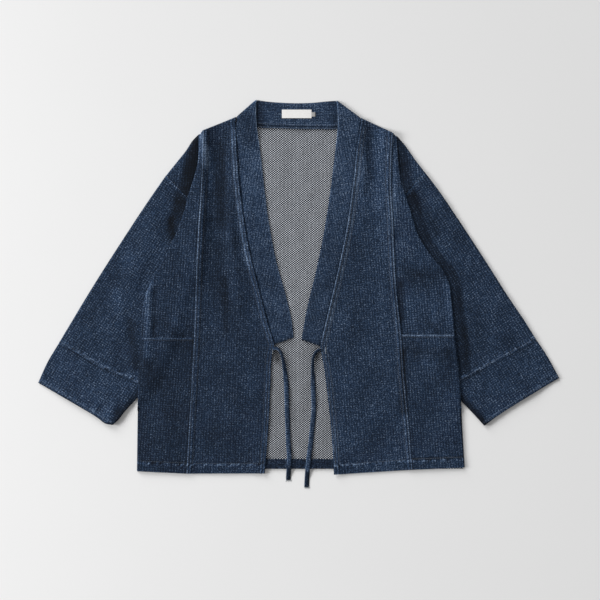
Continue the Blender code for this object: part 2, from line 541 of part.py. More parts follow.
def make_side(side, indigo):
    """The side panel with its drop shoulder: it rolls over the sleeve, and down to the surface below it."""
    grid, rim = side_grid(side)
    rows = np.arange(len(grid))
    shoulder_foot = np.interp(rows, *zip(*SHOULDER_FOOT))
    foot = np.where(rows < ROWS_TO_ARMHOLE, shoulder_foot, side.side_roll_foot(rim))
    grid = rolled(grid, rim, grid[:, -1, 2], foot)
    grid = roll_down(grid, ROLL)
    across = grid.shape[1]
    top_rows = len(ROLL_TURN)
    shared = grid[:top_rows + ROWS_TO_ARMHOLE, -1]

    # The drop shoulder goes on from the foot of the roll, out to the shoulder's slope and the armhole seam
    slope = moved_in(side.line["shoulder_slope"], CLOTH / 2 + ROLL)
    seam = np.stack([side.armpit, side.shoulder_tip])
    seam_out = (seam[1] - seam[0]) / np.linalg.norm(seam[1] - seam[0])
    seam_back = np.array([-seam_out[1], seam_out[0]])
    slope_top = along(slope, [DROP_TOP])[0]
    slope_line = slope[slope[:, 1] < slope_top[1]]
    seam_end = seam[1] - (CLOTH / 2 + ROLL) * seam_out + HALF_SEAM * seam_back
    slope_line = np.concatenate([slope_top[None], slope_line[slope_line[:, 1] > seam_end[1] + 3], seam_end[None]])
    top_line = np.stack([shared[top_rows, :2], slope_top])
    seam_line = np.stack([shared[-1, :2] + HALF_SEAM * seam_back, seam_end])
    plan = patch(top_line, seam_line, shared[top_rows:, :2], slope_line,
                 np.linspace(0, 1, ROWS_TO_ARMHOLE), DROP_ACROSS)
    down = np.linspace(0, 1, ROWS_TO_ARMHOLE)[:, None]
    out = DROP_ACROSS[None]
    near_seam = side.sleeve_over(plan[..., 0], plan[..., 1]) + ARMHOLE_STEP * (1 - out) ** 3
    valley = (shared[top_rows:, 2][:, None] * (1 - out) + out * DROP_EDGE_HEIGHT
              + DROP_FULLNESS * np.sin(np.pi * out))
    height = valley + (near_seam - valley) * down**2
    bump = np.concatenate([plan, height[..., None]], axis=2)
    tangent = np.gradient(plan[:, -1], axis=0)
    normal = np.stack([-tangent[:, 1], tangent[:, 0]], axis=1)
    normal /= np.linalg.norm(normal, axis=1)[:, None]
    normal[-1] = seam_out
    bump = rolled(bump, plan[:, -1] + ROLL * normal, bump[:, -1, 2], 0.0)
    bump = roll_down(bump, ROLL)
    bump[:top_rows, 0] = shared[:top_rows]
    bump[top_rows:, 0] = shared[top_rows:]

    main_points = grid.reshape(-1, 3)
    extra = bump[:, 1:].reshape(-1, 3)
    extra_across = bump.shape[1] - 1
    extra_index = np.arange(len(extra)).reshape(len(bump), extra_across) + len(main_points)
    shared_index = (np.arange(len(bump)) * across + across - 1)[:, None]
    index = np.concatenate([shared_index, extra_index], axis=1)
    bump_faces = np.stack([index[:-1, :-1], index[:-1, 1:], index[1:, 1:], index[1:, :-1]], axis=-1).reshape(-1, 4)
    faces = np.concatenate([quads(len(grid), across), bump_faces])
    points = np.concatenate([main_points, extra])
    wall(f"side_{side.name}", side.place(points), faces, CLOTH, indigo)


def make_pocket(side, indigo):
    """The patch pocket: the side panel's own points moved out, from the opening to the hem."""
    grid, _ = side_grid(side)
    normals = vertex_normals(grid.reshape(-1, 3), quads(*grid.shape[:2])).reshape(grid.shape)
    normals *= np.sign(normals[..., 2:3])
    grid = (grid + (CLOTH + SEAM) * normals)[ROWS_TO_ARMHOLE - 1 + ROWS_TO_POCKET:]
    wall(f"pocket_{side.name}", side.place(grid), quads(*grid.shape[:2]), CLOTH, indigo)


def flat_tube(side, plan):
    """Rings of a flattened tube over a plan grid: its under layer, a turn, its upper layer and a turn back."""
    x, y = plan[..., 0], plan[..., 1]
    under, over = side.sleeve_under(x, y), side.sleeve_over(x, y)
    rings = [np.concatenate([plan, under[..., None]], axis=2)]
    for edge, turns in ((-1, (45, 90, 135)), (0, (135, 90, 45))):
        beside = plan[:, edge] - plan[:, -2 if edge == -1 else 1]
        beside /= np.linalg.norm(beside, axis=1)[:, None]
        middle, half = (under[:, edge] + over[:, edge]) / 2, (over[:, edge] - under[:, edge]) / 2
        turned = []
        for turn in np.radians(turns):
            point = plan[:, edge] + ROLL * np.sin(turn) * beside
            turned.append(np.concatenate([point, (middle - half * np.cos(turn))[:, None]], axis=1))
        rings.append(np.stack(turned, axis=1))
        if edge == -1:
            rings.append(np.concatenate([plan, over[..., None]], axis=2)[:, ::-1])
    return np.concatenate(rings, axis=1)


def make_sleeve(side, indigo):
    """The sleeve: a flattened tube from the armhole seam, partly inside the body, to the cuff's seam."""
    inset = CLOTH / 2 + ROLL
    line = side.line
    seam = np.stack([side.shoulder_tip, side.armpit])
    along_seam = (seam[1] - seam[0]) / np.linalg.norm(seam[1] - seam[0])
    clear = np.array([along_seam[1], -along_seam[0]])
    clear *= -np.sign(clear[1]) * SEAM
    armhole = np.concatenate([seam[:1] + inset * along_seam + clear, seam[1:] + clear, line["hidden_armhole"][3:]])
    outer, inner = moved_in(line["sleeve_outer"], inset), moved_in(line["sleeve_inner"], -inset)
    cuff = cuff_line(side, -HALF_SEAM)
    armhole[-1] = inner[0]
    outer[0], outer[-1], inner[-1] = armhole[0], cuff[0], cuff[-1]
    plan = patch(armhole, cuff, outer, inner, np.linspace(0, 1, SLEEVE_ROWS), np.linspace(0, 1, SLEEVE_COLUMNS))
    rings = flat_tube(side, plan)
    wall(f"sleeve_{side.name}", side.place(rings), quads(*rings.shape[:2], closed=True), CLOTH, indigo)


def trimmed(line, trim):
    """A line cut short by a length at both ends."""
    reach = np.linalg.norm(np.diff(line, axis=0), axis=1).sum()
    return along(line, np.linspace(trim / reach, 1 - trim / reach, CUFF_POINTS))


def cuff_line(side, beyond):
    """The cuff's seam, inside the turned edges and moved down the sleeve by a distance."""
    inset = CLOTH / 2 + ROLL
    seam = side.line["cuff_seam"]
    return moved_in(trimmed(seam, inset), -beyond)


def make_cuff(side, indigo):
    """The cuff: a deep band that carries the sleeve's tube on to its open end."""
    inset = CLOTH / 2 + ROLL
    line = side.line
    start = cuff_line(side, HALF_SEAM)
    outer = moved_in(line["cuff_outer"], inset)
    inner = moved_in(line["cuff_inner"], -inset)
    edge = trimmed(line["cuff_edge"], inset)
    outer[0], outer[-1], inner[0], inner[-1] = start[0], edge[0], start[-1], edge[-1]
    plan = patch(start, edge, outer, inner, np.linspace(0, 1, CUFF_ROWS + 1), np.linspace(0, 1, SLEEVE_COLUMNS))
    rings = flat_tube(side, plan)
    wall(f"cuff_{side.name}", side.place(rings), quads(*rings.shape[:2], closed=True), CLOTH, indigo)


def make_plate(name, box, under, thickness, material):
    """A small flat rectangle of cloth on what carries it."""
    x, y = np.linspace(box[0], box[1], 3), np.linspace(box[3], box[2], 3)
    grid = np.stack(np.broadcast_arrays(x[None], y[:, None], under + thickness / 2), axis=2)
    wall(name, grid, quads(3, 3), thickness, material)


def make_tie(name, table, material):
    """A narrow tape: an oval section carried along its route, wider where the tape lies flat."""
    shares = np.linspace(0, 1, TIE_RINGS)
    route = along(smooth(table, 8), shares)
    ahead = np.gradient(route, axis=0)
    ahead /= np.linalg.norm(ahead, axis=1)[:, None]
    across = np.cross(ahead, (0, 0, 1.0))
    across /= np.linalg.norm(across, axis=1)[:, None]
    up = np.cross(across, ahead)
    flat = step((shares - TIE_TURNS_FLAT[0]) / TIE_TURNS_FLAT[1])
    width = TIE_TOP_WIDTH + (TIE_WIDTH - TIE_TOP_WIDTH) * flat
    angle = 2 * np.pi * (np.arange(TIE_SIDES) + 0.5) / TIE_SIDES
    rings = (route[:, None] + (width / 2)[:, None, None] * np.cos(angle)[None, :, None] * across[:, None]
             + TIE_THICK / 2 * np.sin(angle)[None, :, None] * up[:, None])
    first_ring = np.arange(TIE_SIDES)
    faces = [*quads(TIE_RINGS, TIE_SIDES, closed=True), first_ring[::-1], first_ring + (TIE_RINGS - 1) * TIE_SIDES]
    solid(name, rings.reshape(-1, 3), faces, material)


def main():
    for old in list(bpy.data.objects):
        bpy.data.objects.remove(old)
    indigo = cloth("indigo_cloth", (0.026, 0.042, 0.072))
    reverse = cloth("pale_reverse", (0.21, 0.22, 0.24))
    white = cloth("white_label_cloth", (0.75, 0.75, 0.73), 0.8)
    left, right = Side("left"), Side("right")
    make_back(left, right, reverse)
    make_back_hem(indigo)
    make_back_band(left, right, indigo)
    for side in (left, right):
        make_front_band(side, indigo)
        make_front(side, indigo)
        make_side(side, indigo)
        make_pocket(side, indigo)
        make_sleeve(side, indigo)
        make_cuff(side, indigo)
        make_tie(f"tie_{side.name}", TIES[side.name], indigo)
    make_plate("label", LABEL_BOX, BAND + SEAM, LABEL, white)
    make_plate("size_tab", SIZE_TAB_BOX, BAND + SEAM, LABEL, white)


main()
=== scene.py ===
# %% [markdown]
# # An open haori laid flat
#
# A haori is a short, open jacket with a straight collar band. This one is sewn from a slubby indigo cotton
# whose wrong side is pale, and it lies on its back on a floor, arms down and ties loose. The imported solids
# give us its true place and size. Here we lay finer cloth on their form, and give that cloth its weave, its
# creases and its stitches.

import bmesh
import bpy
import numpy as np
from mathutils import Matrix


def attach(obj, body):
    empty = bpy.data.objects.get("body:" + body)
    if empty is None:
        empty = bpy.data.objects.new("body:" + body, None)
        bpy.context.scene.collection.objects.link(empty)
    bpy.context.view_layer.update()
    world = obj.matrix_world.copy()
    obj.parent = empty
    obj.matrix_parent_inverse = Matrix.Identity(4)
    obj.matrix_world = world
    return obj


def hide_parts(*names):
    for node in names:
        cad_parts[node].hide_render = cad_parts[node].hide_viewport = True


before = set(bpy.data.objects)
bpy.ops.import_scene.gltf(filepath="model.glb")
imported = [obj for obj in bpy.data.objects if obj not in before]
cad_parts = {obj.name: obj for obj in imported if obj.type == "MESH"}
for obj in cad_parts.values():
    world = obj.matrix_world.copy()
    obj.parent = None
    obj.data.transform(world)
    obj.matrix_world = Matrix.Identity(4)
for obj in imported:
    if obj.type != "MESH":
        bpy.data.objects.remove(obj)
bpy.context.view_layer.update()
MM = 0.001

# %% [markdown]
# ## The camera
#
# The jacket was photographed from straight above, so the camera looks straight down and needs no tilt. We
# measured how many millimetres one pixel of a 600-pixel picture covers, and where the middle of the garment
# lies in it. A camera far away with a long lens keeps the flat shape free of perspective.

# %% Camera straight above
PICTURE_SIDE = 600
MM_PER_PIXEL = 1.9
GARMENT_MIDDLE = (298.7, 287.1)  # its pixel, from the top left corner
CAMERA_ABOVE = 2.6  # metres over the middle of the cloth's thickness
CLOTH_LEVEL = 0.004
SENSOR = 36.0


def add_object(name, data):
    """A new object at the origin of the scene, for a mesh, a camera or a light."""
    made = bpy.data.objects.new(name, data)
    bpy.context.scene.collection.objects.link(made)
    return made


view_side = PICTURE_SIDE * MM_PER_PIXEL * MM
offset = (np.array(GARMENT_MIDDLE) - PICTURE_SIDE / 2) * MM_PER_PIXEL * MM
camera_data = bpy.data.cameras.new("camera")
camera_data.sensor_width = SENSOR
camera_data.lens = SENSOR * CAMERA_ABOVE / view_side
camera = add_object("camera", camera_data)
camera.location = (-offset[0], offset[1], CAMERA_ABOVE + CLOTH_LEVEL)
bpy.context.scene.camera = camera
print("the lens is", round(camera_data.lens, 1), "mm and sees", round(view_side, 2), "m")

# %% [markdown]
# ## Curves and steps
#
# Every shape below is a surface worked out from lines. We need four tools: a smooth line through a few
# measured points, points at chosen shares of its length, its reading at a given height, and the same line
# moved sideways. A smooth step blends one height into another, and a soft bump raises or darkens a line.

# %% Tools for lines
def smooth(points, per_span=12):
    """A cubic Hermite curve through the points: on each span, the four Hermite weights of the two ends and
    of their slopes, with the chord lengths as the knots."""
    points = np.array(points, float)
    if len(points) == 2:
        return points[0] + np.linspace(0, 1, per_span + 1)[:, None] * (points[1] - points[0])
    knots = np.concatenate([[0], np.cumsum(np.linalg.norm(np.diff(points, axis=0), axis=1))])
    slopes = np.gradient(points, knots, axis=0)
    t = np.append(np.tile(np.arange(per_span) / per_span, len(points) - 1), 1.0)[:, None]
    span = np.append(np.repeat(np.arange(len(points) - 1), per_span), len(points) - 2)
    length = (knots[span + 1] - knots[span])[:, None]
    return ((2 * t**3 - 3 * t**2 + 1) * points[span] + (t**3 - 2 * t**2 + t) * length * slopes[span]
            + (3 * t**2 - 2 * t**3) * points[span + 1] + (t**3 - t**2) * length * slopes[span + 1])


def reach_of(line):
    """The length of a line from its start to each of its points."""
    return np.concatenate([[0], np.cumsum(np.linalg.norm(np.diff(line, axis=0), axis=1))])


def along(line, shares):
    """Points at these shares of a line's length."""
    reach = reach_of(line)
    return np.stack([np.interp(np.asarray(shares) * reach[-1], reach, column) for column in line.T], axis=-1)


def x_at(line, y):
    """How far out a line lies at these heights, read off between its points."""
    order = np.argsort(line[:, 1])
    return np.interp(y, line[order, 1], line[order, 0])


def at_heights(line, y):
    """Points of a line that runs down, at these heights."""
    return np.stack([x_at(line, y), np.asarray(y, float)], axis=-1)


def unit(vectors):
    """The same directions, with length one."""
    return vectors / np.linalg.norm(vectors, axis=-1, keepdims=True)


def raised(plan, height):
    """A plan and the height of each of its points, as points in space."""
    return np.concatenate([plan, height[..., None]], axis=-1)


def moved_in(line, distance):
    """A line moved sideways by a distance, to the right of its direction."""
    ahead = unit(np.gradient(line, axis=0))
    return line + distance * np.stack([ahead[:, 1], -ahead[:, 0]], axis=1)


def step(value):
    """0 below 0, 1 above 1, and 3v^2 - 2v^3 between."""
    value = np.clip(value, 0, 1)
    return value * value * (3 - 2 * value)


def above(value, start, width):
    """0 up to the start and 1 from the start plus the width, with a smooth step between."""
    return step((value - start) / width)


def below(value, start, width):
    """0 down to the start and 1 from the start less the width, with a smooth step between."""
    return step((start - value) / width)


def bell(distance, width):
    """A soft bump: e to the power of minus the square of distance over width."""
    return np.exp(-(np.asarray(distance) / width) ** 2)


def bells(distance, *rows):
    """The sum of soft bumps, each given as its height, the distance of its middle, and its width."""
    return sum(height * bell(distance - middle, width) for height, middle, width in rows)


print("the line tools are ready")

# %% [markdown]
# ## How a mesh is made
#
# Cloth has two sides and a thickness. So each piece is one grid of points in the middle of the cloth, moved
# out by half the thickness for the right side and in for the wrong side, and joined round its free edges.
# The grid also carries a map in metres that follows the grain, so the weave runs the way the piece was cut,
# and one number a point, the tone, which makes the colour paler or darker: worn dye, and also painted shade
# in folds and hollows and painted light on ridges and edges.

# %% Grids into cloth
def cells(index):
    """The faces between the rows and the columns of a grid of point numbers."""
    return np.stack([index[:-1, :-1], index[:-1, 1:], index[1:, 1:], index[1:, :-1]], axis=-1).reshape(-1, 4)


def quads(rows, columns, closed=False):
    """Faces of a grid of points, by number. A closed grid joins its last column to its first."""
    index = np.arange(rows * columns).reshape(rows, columns)
    return cells(np.concatenate([index, index[:, :1]], axis=1) if closed else index)


def spanned(points, faces):
    """The cross product of each face's two diagonals: twice its area, along its normal."""
    return np.cross(points[faces[:, 2]] - points[faces[:, 0]], points[faces[:, 3]] - points[faces[:, 1]])


def inside_out(points, faces):
    """Whether the faces point inwards: then the volume that they enclose with the origin is negative."""
    corners = points[faces[:, [0, 1, 2]]]
    return np.einsum("ij,ij->i", corners[:, 0], np.cross(corners[:, 1], corners[:, 2])).sum() < 0


def vertex_normals(points, faces):
    """Unit normals: what each face spans, summed at its corners."""
    normals = np.zeros_like(points)
    for corner in range(4):
        np.add.at(normals, faces[:, corner], spanned(points, faces))
    return unit(normals)


SHARP_ANGLE = np.radians(50)


def new_mesh(name, points, faces, materials):
    """A smooth mesh from points in millimetres."""
    mesh = bpy.data.meshes.new(name)
    mesh.from_pydata((np.asarray(points) * MM).tolist(), [], faces)
    for material in materials:
        mesh.materials.append(material)
    mesh.shade_smooth()
    return mesh


def add_maps(mesh, grain, tone):
    """The grain map and the tone of a mesh, from one value a point. A map has one value a face corner."""
    corner_points = np.empty(len(mesh.loops), np.int32)
    mesh.loops.foreach_get("vertex_index", corner_points)
    corners = (grain[corner_points] * MM).astype(np.float32)
    mesh.uv_layers.new(name="grain").data.foreach_set("uv", corners.ravel())
    mesh.attributes.new("tone", "FLOAT", "POINT").data.foreach_set("value", tone.astype(np.float32))


def mesh_object(name, points, faces, materials, grain=None, tone=None, face_slots=None):
    """An object from points in millimetres, with its faces turned outwards and its sharp edges kept sharp."""
    faces = np.asarray(faces)
    faces = faces[:, ::-1] if inside_out(points, faces) else faces
    mesh = new_mesh(name, points, faces.tolist(), materials)
    if face_slots is not None:
        mesh.polygons.foreach_set("material_index", np.asarray(face_slots, np.int32))
    if grain is not None:
        add_maps(mesh, grain, tone)
    mesh.set_sharp_from_angle(angle=SHARP_ANGLE)
    mesh.validate()
    return add_object(name, mesh)


def cloth_wall(name, grid, thickness, grain, tone, materials, faces):
    """Two sheets at plus and minus half the thickness along the normals of the grid, and a rim between
    them. The first material is on the side the normals point to, the second on the other."""
    points = grid.reshape(-1, 3)
    half = np.broadcast_to(np.asarray(thickness, float).reshape(-1, 1) / 2, (len(points), 1))
    offset = half * vertex_normals(points, faces)
    walls = np.concatenate([points + offset, points - offset])
    walls[:, 2] = np.maximum(walls[:, 2], 0)
    ends = np.concatenate([faces[:, [k, (k + 1) % 4]] for k in range(4)])
    _, index, times = np.unique(np.sort(ends, axis=1), axis=0, return_inverse=True, return_counts=True)
    free = ends[times[index.reshape(-1)] == 1]
    count = len(points)
    rim = np.stack([free[:, 1], free[:, 0], free[:, 0] + count, free[:, 1] + count], axis=1)
    slots = np.repeat([0, 1, 0], [len(faces), len(faces), len(rim)])
    both_grain, both_tone = np.tile(grain.reshape(-1, 2), (2, 1)), np.tile(tone.reshape(-1), 2)
    all_faces = np.concatenate([faces, faces[:, ::-1] + count, rim])
    return mesh_object(name, walls, all_faces, materials, both_grain, both_tone, slots)


print("the mesh tools are ready")

# %% [markdown]
# ## Indigo cotton
#
# The cloth is a heavy cotton with a small raised figure: columns of floats about 5 mm apart and rows about
# 4 mm apart, spun from uneven yarn. Indigo sits on the outside of a yarn, so wear shows as pale flecks and
# pale ridges. We build that from the grain map: two sine waves for the figure, a fine noise for the flecks,
# two long noises for the slubs in warp and weft, and a slow one for the uneven dye. The tone then makes
# ridges paler with painted light as well as wear, and folds darker with painted shade.

# %% A small graph builder
class Graph:
    """Adds shader nodes and joins them. An input is a socket or a number."""

    def __init__(self, name):
        self.material = bpy.data.materials.new(name)
        self.material.use_nodes = True
        self.tree = self.material.node_tree
        self.shader = self.tree.nodes["Principled BSDF"]

    def put(self, socket, value):
        """Joins a socket to another one, or sets its number."""
        if isinstance(value, bpy.types.NodeSocket):
            self.tree.links.new(value, socket)
        else:
            socket.default_value = value

    def node(self, kind, output=0, settings=None, **inputs):
        """A node with these settings and inputs. The answer is one of its outputs."""
        made = self.tree.nodes.new("ShaderNode" + kind)
        for key, value in (settings or {}).items():
            setattr(made, key, value)
        for key, value in inputs.items():
            self.put(made.inputs[key], value)
        return made.outputs[output]

    def by_place(self, kind, operation, *values, output=0):
        """A node whose inputs share their names, so that they are given by their place."""
        made = self.tree.nodes.new("ShaderNode" + kind)
        made.operation = operation
        for socket, value in zip(made.inputs, values):
            self.put(socket, value)
        return made.outputs[output]

    def math(self, operation, *values):
        """The result of a sum, a product, a sine and the like."""
        return self.by_place("Math", operation, *values)

    def limited(self, value, low, high):
        """A value cut off below and above."""
        return self.math("MINIMUM", self.math("MAXIMUM", value, low), high)

    def stretched(self, vector, scale):
        """A vector with each of its parts multiplied by its own number."""
        return self.by_place("VectorMath", "MULTIPLY", vector, scale)

    def scaled(self, colour, factor):
        """A colour made brighter or darker as a whole."""
        return self.node("VectorMath", settings={"operation": "SCALE"}, Vector=colour, Scale=factor)

    def cloth_maps(self):
        """The grain map, its parts across and along the grain, and the tone."""
        grain = self.node("UVMap", settings={"uv_map": "grain"})
        parts = self.node("SeparateXYZ", Vector=grain).node.outputs
        return grain, parts[0], parts[1], self.node("Attribute", 2, {"attribute_name": "tone"})

    def noise(self, vector, scale, detail=2.0, roughness=0.5, dimensions="2D"):
        """Uneven values about 0.5, with so many patches a metre."""
        return self.node("TexNoise", settings={"noise_dimensions": dimensions}, Vector=vector, Scale=scale,
                         Detail=detail, Roughness=roughness)

    def flecks(self, vector, scale):
        """Fine noise. It is cut through a solid noise along a slanting plane, so that it shows no rows."""
        turned = self.node("VectorRotate", settings={"rotation_type": "AXIS_ANGLE"}, Vector=vector,
                           Axis=(1, -1, 0), Angle=float(np.arccos(3 ** -0.5)))
        return self.noise(turned, scale, 1.0, 0.5, "3D")

    def mix(self, share, first, second):
        """The first colour where the share is 0, the second where it is 1."""
        made = self.tree.nodes.new("ShaderNodeMix")
        made.data_type = "RGBA"
        for key, value in (("Factor", share), (6, first), (7, second)):
            self.put(made.inputs[key], value)
        return made.outputs[2]

    def wave(self, distance, period):
        """The sine of two pi times distance over period."""
        return self.math("SINE", self.math("MULTIPLY_ADD", distance, 2 * np.pi / period, 0.0))

    def total(self, *parts):
        """The sum of (weight, socket) pairs."""
        result = 0.0
        for weight, socket in parts:
            result = self.math("MULTIPLY_ADD", socket, weight, result)
        return result

    def finish(self, colour, roughness, numbers=None, bump=None):
        """Joins the colour, and the bump as height, strength and distance, and sets the shader's numbers."""
        self.put(self.shader.inputs["Base Color"], colour)
        if bump:
            height, strength, distance = bump
            bumped = self.node("Bump", Height=height, Strength=strength, Distance=distance)
            self.put(self.shader.inputs["Normal"], bumped)
        for key, value in {"Roughness": roughness, **(numbers or {})}.items():
            self.shader.inputs[key].default_value = value
        return self.material


print("the graph builder is ready")

# %% Indigo cotton
COLUMN_PITCH = 5.15 * MM
ROW_PITCH = 4.25 * MM
FLECK = 1.8 * MM
SLUB_LONG = 22 * MM
SLUB_THICK = 1.9 * MM
DYE_PATCH = 90 * MM
# The tone is partly painted light and shade. Above 0 it adds wear, so ridges with painted light show more
# bare yarn; where it paints shade it takes wear away, so the flecks fade in the dark.
WORN_BY_TONE = 0.15  # how much one unit of tone adds to the wear; in shade, to its lack
DEEP_INDIGO = (0.0030, 0.0078, 0.0180, 1)
INDIGO = (0.0140, 0.0325, 0.0715, 1)
BARE_YARN = (0.130, 0.172, 0.240, 1)
CHALKY = (0.145, 0.190, 0.250, 1)  # a rubbed edge, where the dye is gone
RUBBED_FROM = 0.45  # the tone from which an edge turns chalky
RUBBED_GAIN = 0.4
# The painted shade of a fold never takes the colour below this share.
DEEPEST_SHADE = 0.3  # the least share of its colour that a fold leaves the cloth
SLUB_WEAR = (0.17, 0.11)  # what the slubs in warp and weft add to the wear
DYE_WEAR = 0.10
MIDDLE_WEAR = 0.5 * (sum(SLUB_WEAR) + DYE_WEAR)
SOME_WEAR = (0.50, 2.6)  # the share of mid indigo: a number, and what one unit of wear adds
MUCH_WEAR = (-0.30, 2.8)  # and the share of bare yarn


def indigo_cloth(name, pale, columns, rows, flecks):
    """The wear is a sum of noises and of the two waves of the figure. Little wear leaves deep indigo, some
    gives mid indigo, and only the most worn yarns are bare. The colour is multiplied by one plus the tone."""
    g = Graph(name)
    grain, across, down, tone = g.cloth_maps()
    column, row, fleck = g.wave(across, COLUMN_PITCH), g.wave(down, ROW_PITCH), g.flecks(grain, 1 / FLECK)
    warp = g.noise(g.stretched(grain, (1 / SLUB_THICK, 1 / SLUB_LONG, 1)), 1.0, 1.0)
    weft = g.noise(g.stretched(grain, (1 / SLUB_LONG, 1 / SLUB_THICK, 1)), 1.0, 1.0)
    patch_of_dye = g.noise(grain, 1 / DYE_PATCH, 3.0, 0.6)
    wear = g.total((1.0, pale - MIDDLE_WEAR - 0.5 * flecks), (columns, column), (rows, row), (flecks, fleck),
                   (SLUB_WEAR[0], warp), (SLUB_WEAR[1], weft), (DYE_WEAR, patch_of_dye), (WORN_BY_TONE, tone))
    some = g.limited(g.total((1.0, SOME_WEAR[0]), (SOME_WEAR[1], wear)), 0.0, 1.0)
    much = g.limited(g.total((1.0, MUCH_WEAR[0]), (MUCH_WEAR[1], wear)), 0.0, 1.0)
    colour = g.mix(much, g.mix(some, DEEP_INDIGO, INDIGO), BARE_YARN)
    # The colour is scaled by one plus the tone: painted shade in folds, hollows and creases, painted light on
    # ridges and edges, and worn dye.
    lit = g.scaled(colour, g.math("MAXIMUM", g.math("ADD", tone, 1.0), DEEPEST_SHADE))
    # Where the tone is high the colour turns chalky: on rubbed edges, and where painted light on a ridge is
    # brightest.
    rubbed = g.limited(g.total((1.0, -RUBBED_FROM * RUBBED_GAIN), (RUBBED_GAIN, tone)), 0.0, 0.5)
    height = g.total((0.4, column), (0.3, row), (1.0, fleck), (0.4, warp), (0.4, weft))
    return g.finish(g.mix(rubbed, lit, CHALKY), 0.88,
                    {"Specular IOR Level": 0.15, "Sheen Weight": 0.04, "Sheen Roughness": 0.5},
                    (height, 0.3, 0.5 * MM))


indigo = indigo_cloth("indigo_cotton", -0.04, 0.07, 0.04, 1.5)
side_indigo = indigo_cloth("indigo_cotton_figured", -0.03, 0.085, 0.05, 1.4)
sleeve_indigo = indigo_cloth("indigo_cotton_bloomed", -0.04, 0.08, 0.075, 1.4)
band_indigo = indigo_cloth("indigo_cotton_doubled", 0.015, 0.055, 0.035, 1.3)
print("made", indigo.name, side_indigo.name, sleeve_indigo.name, "and", band_indigo.name)

# %% [markdown]
# ## The pale wrong side
#
# On the wrong side the undyed weft floats show between dark warp yarns: pale and dark dots that change places
# from row to row, like a draughts board, 5.1 mm by 4.2 mm. The product of a wave across and a wave down makes
# just that. The rows of this back piece lean by three degrees, so the wave down also takes a little of the
# distance across.

# %% The wrong side
REVERSE_COLUMN = 5.115 * MM
REVERSE_ROW = 4.18 * MM
REVERSE_LEAN = 0.0517
DARK_WARP = (0.008, 0.011, 0.017, 1)
ECRU_WEFT = (0.87, 0.91, 0.98, 1)
DOT_SHARPNESS = 8.5
DOT_THRESHOLD = 0.38


def wrong_side(name):
    """The share of pale yarn is the product of the two waves, less a threshold, made steep and cut off at 0
    and 1, so that it gives small bright dots. A fine noise makes them uneven."""
    g = Graph(name)
    grain, across, down, tone = g.cloth_maps()
    leaning = g.total((1.0, down), (REVERSE_LEAN, across))
    dots = g.math("MULTIPLY", g.wave(across, REVERSE_COLUMN), g.wave(leaning, REVERSE_ROW))
    fleck = g.noise(grain, 1 / FLECK, 2.0, 0.6)
    slub = g.noise(g.stretched(grain, (1 / SLUB_LONG, 1 / SLUB_THICK, 1)), 1.0, 1.0)
    share = g.total((1.0, -DOT_SHARPNESS * DOT_THRESHOLD), (DOT_SHARPNESS, dots), (0.3, fleck), (0.25, slub))
    # The tone scales this colour too: painted shade below the neck band, beside the fronts and in the ties'
    # loops, the ties' painted shadows, and painted light along the left band's edge.
    colour = g.scaled(g.mix(g.limited(share, 0.0, 1.0), DARK_WARP, ECRU_WEFT), g.math("ADD", tone, 1.0))
    return g.finish(colour, 0.92, {"Specular IOR Level": 0.15}, (dots, 0.4, 0.4 * MM))


reverse = wrong_side("pale_wrong_side")
print("made", reverse.name)

# %% [markdown]
# ## Thread and label cloth
#
# The seams are sewn with a mid-blue thread that stands out a little from the worn cloth. The neck label and
# the little size tab are white woven tape, left bare here.

# %% Thread and label
YARN = {"scale": 2500.0, "detail": 1.0, "dark": 0.6, "roughness": 0.8}  # a noise of 0.4 mm
WARM_WHITE = np.array([1, 0.985, 0.975])


def speckled(name, colour, scale, detail, dark, roughness, numbers=None):
    """A plain colour, with a fine noise that darkens it in places to the share `dark` of itself."""
    g = Graph(name)
    speck = g.node("TexNoise", Vector=g.node("TexCoord", 3), Scale=scale, Detail=detail)
    darker = (*(dark * value for value in colour), 1)
    return g.finish(g.mix(speck, darker, (*colour, 1)), roughness, numbers)


def label_cloth(name, white):
    """Woven tape: fine ribs, 0.5 mm, across a warm white, as bright as `white`."""
    g = Graph(name)
    place = g.node("TexCoord", 3)
    rib = g.wave(g.node("SeparateXYZ", Vector=place).node.outputs[1], 0.5 * MM)
    speck = g.node("TexNoise", Vector=place, Scale=900.0, Detail=2.0)
    dull, bright = ((*(share * white * WARM_WHITE), 1) for share in (0.86, 1.06))
    return g.finish(g.mix(g.total((0.2, rib), (1.0, speck)), dull, bright), 0.7, bump=(rib, 0.3, 0.1 * MM))


thread = {"left": speckled("worn_thread", (0.095, 0.125, 0.180), **YARN),
          "right": speckled("blue_thread", (0.150, 0.190, 0.260), **YARN)}
pale_thread = speckled("pale_thread", (0.42, 0.46, 0.50), **YARN)
label_white, tab_white = label_cloth("white_label_tape", 0.87), label_cloth("dull_tab_tape", 0.36)
print("made", thread["left"].name, thread["right"].name, pale_thread.name, label_white.name)

# %% [markdown]
# ## The two ties
#
# A flat tape hangs from the lower end of each front of the band. We carry an oval section along its route.
# At the root the tape stands half on its edge, and it turns flat as it goes down, so the oval is turned
# about the route by an angle that fades out. Each end is cut and frays into a few loose threads.

# %% Tape along a route
TIE_THICK = 1.5
TIE_WIDTH = 9.0
TIE_TURN_AT_ROOT = 40  # degrees
TIE_RINGS = 120
TIE_SIDES = 20
FRAY_THREADS = 9
FRAY_LENGTH = 5.0
FRAY_THICK = 0.8
TIE_SWAY = (0.12, 14)  # how far it rocks about its route, and how often, in radians
TIE_CLEARANCE = 1.3  # the least height of its lower edge where it lies on the back
ON_BACK = 0.8  # the share of it that does
TIE_FLAT_FROM = (0.06, 0.3)  # where a tie starts to turn flat, and for how long, as shares of it
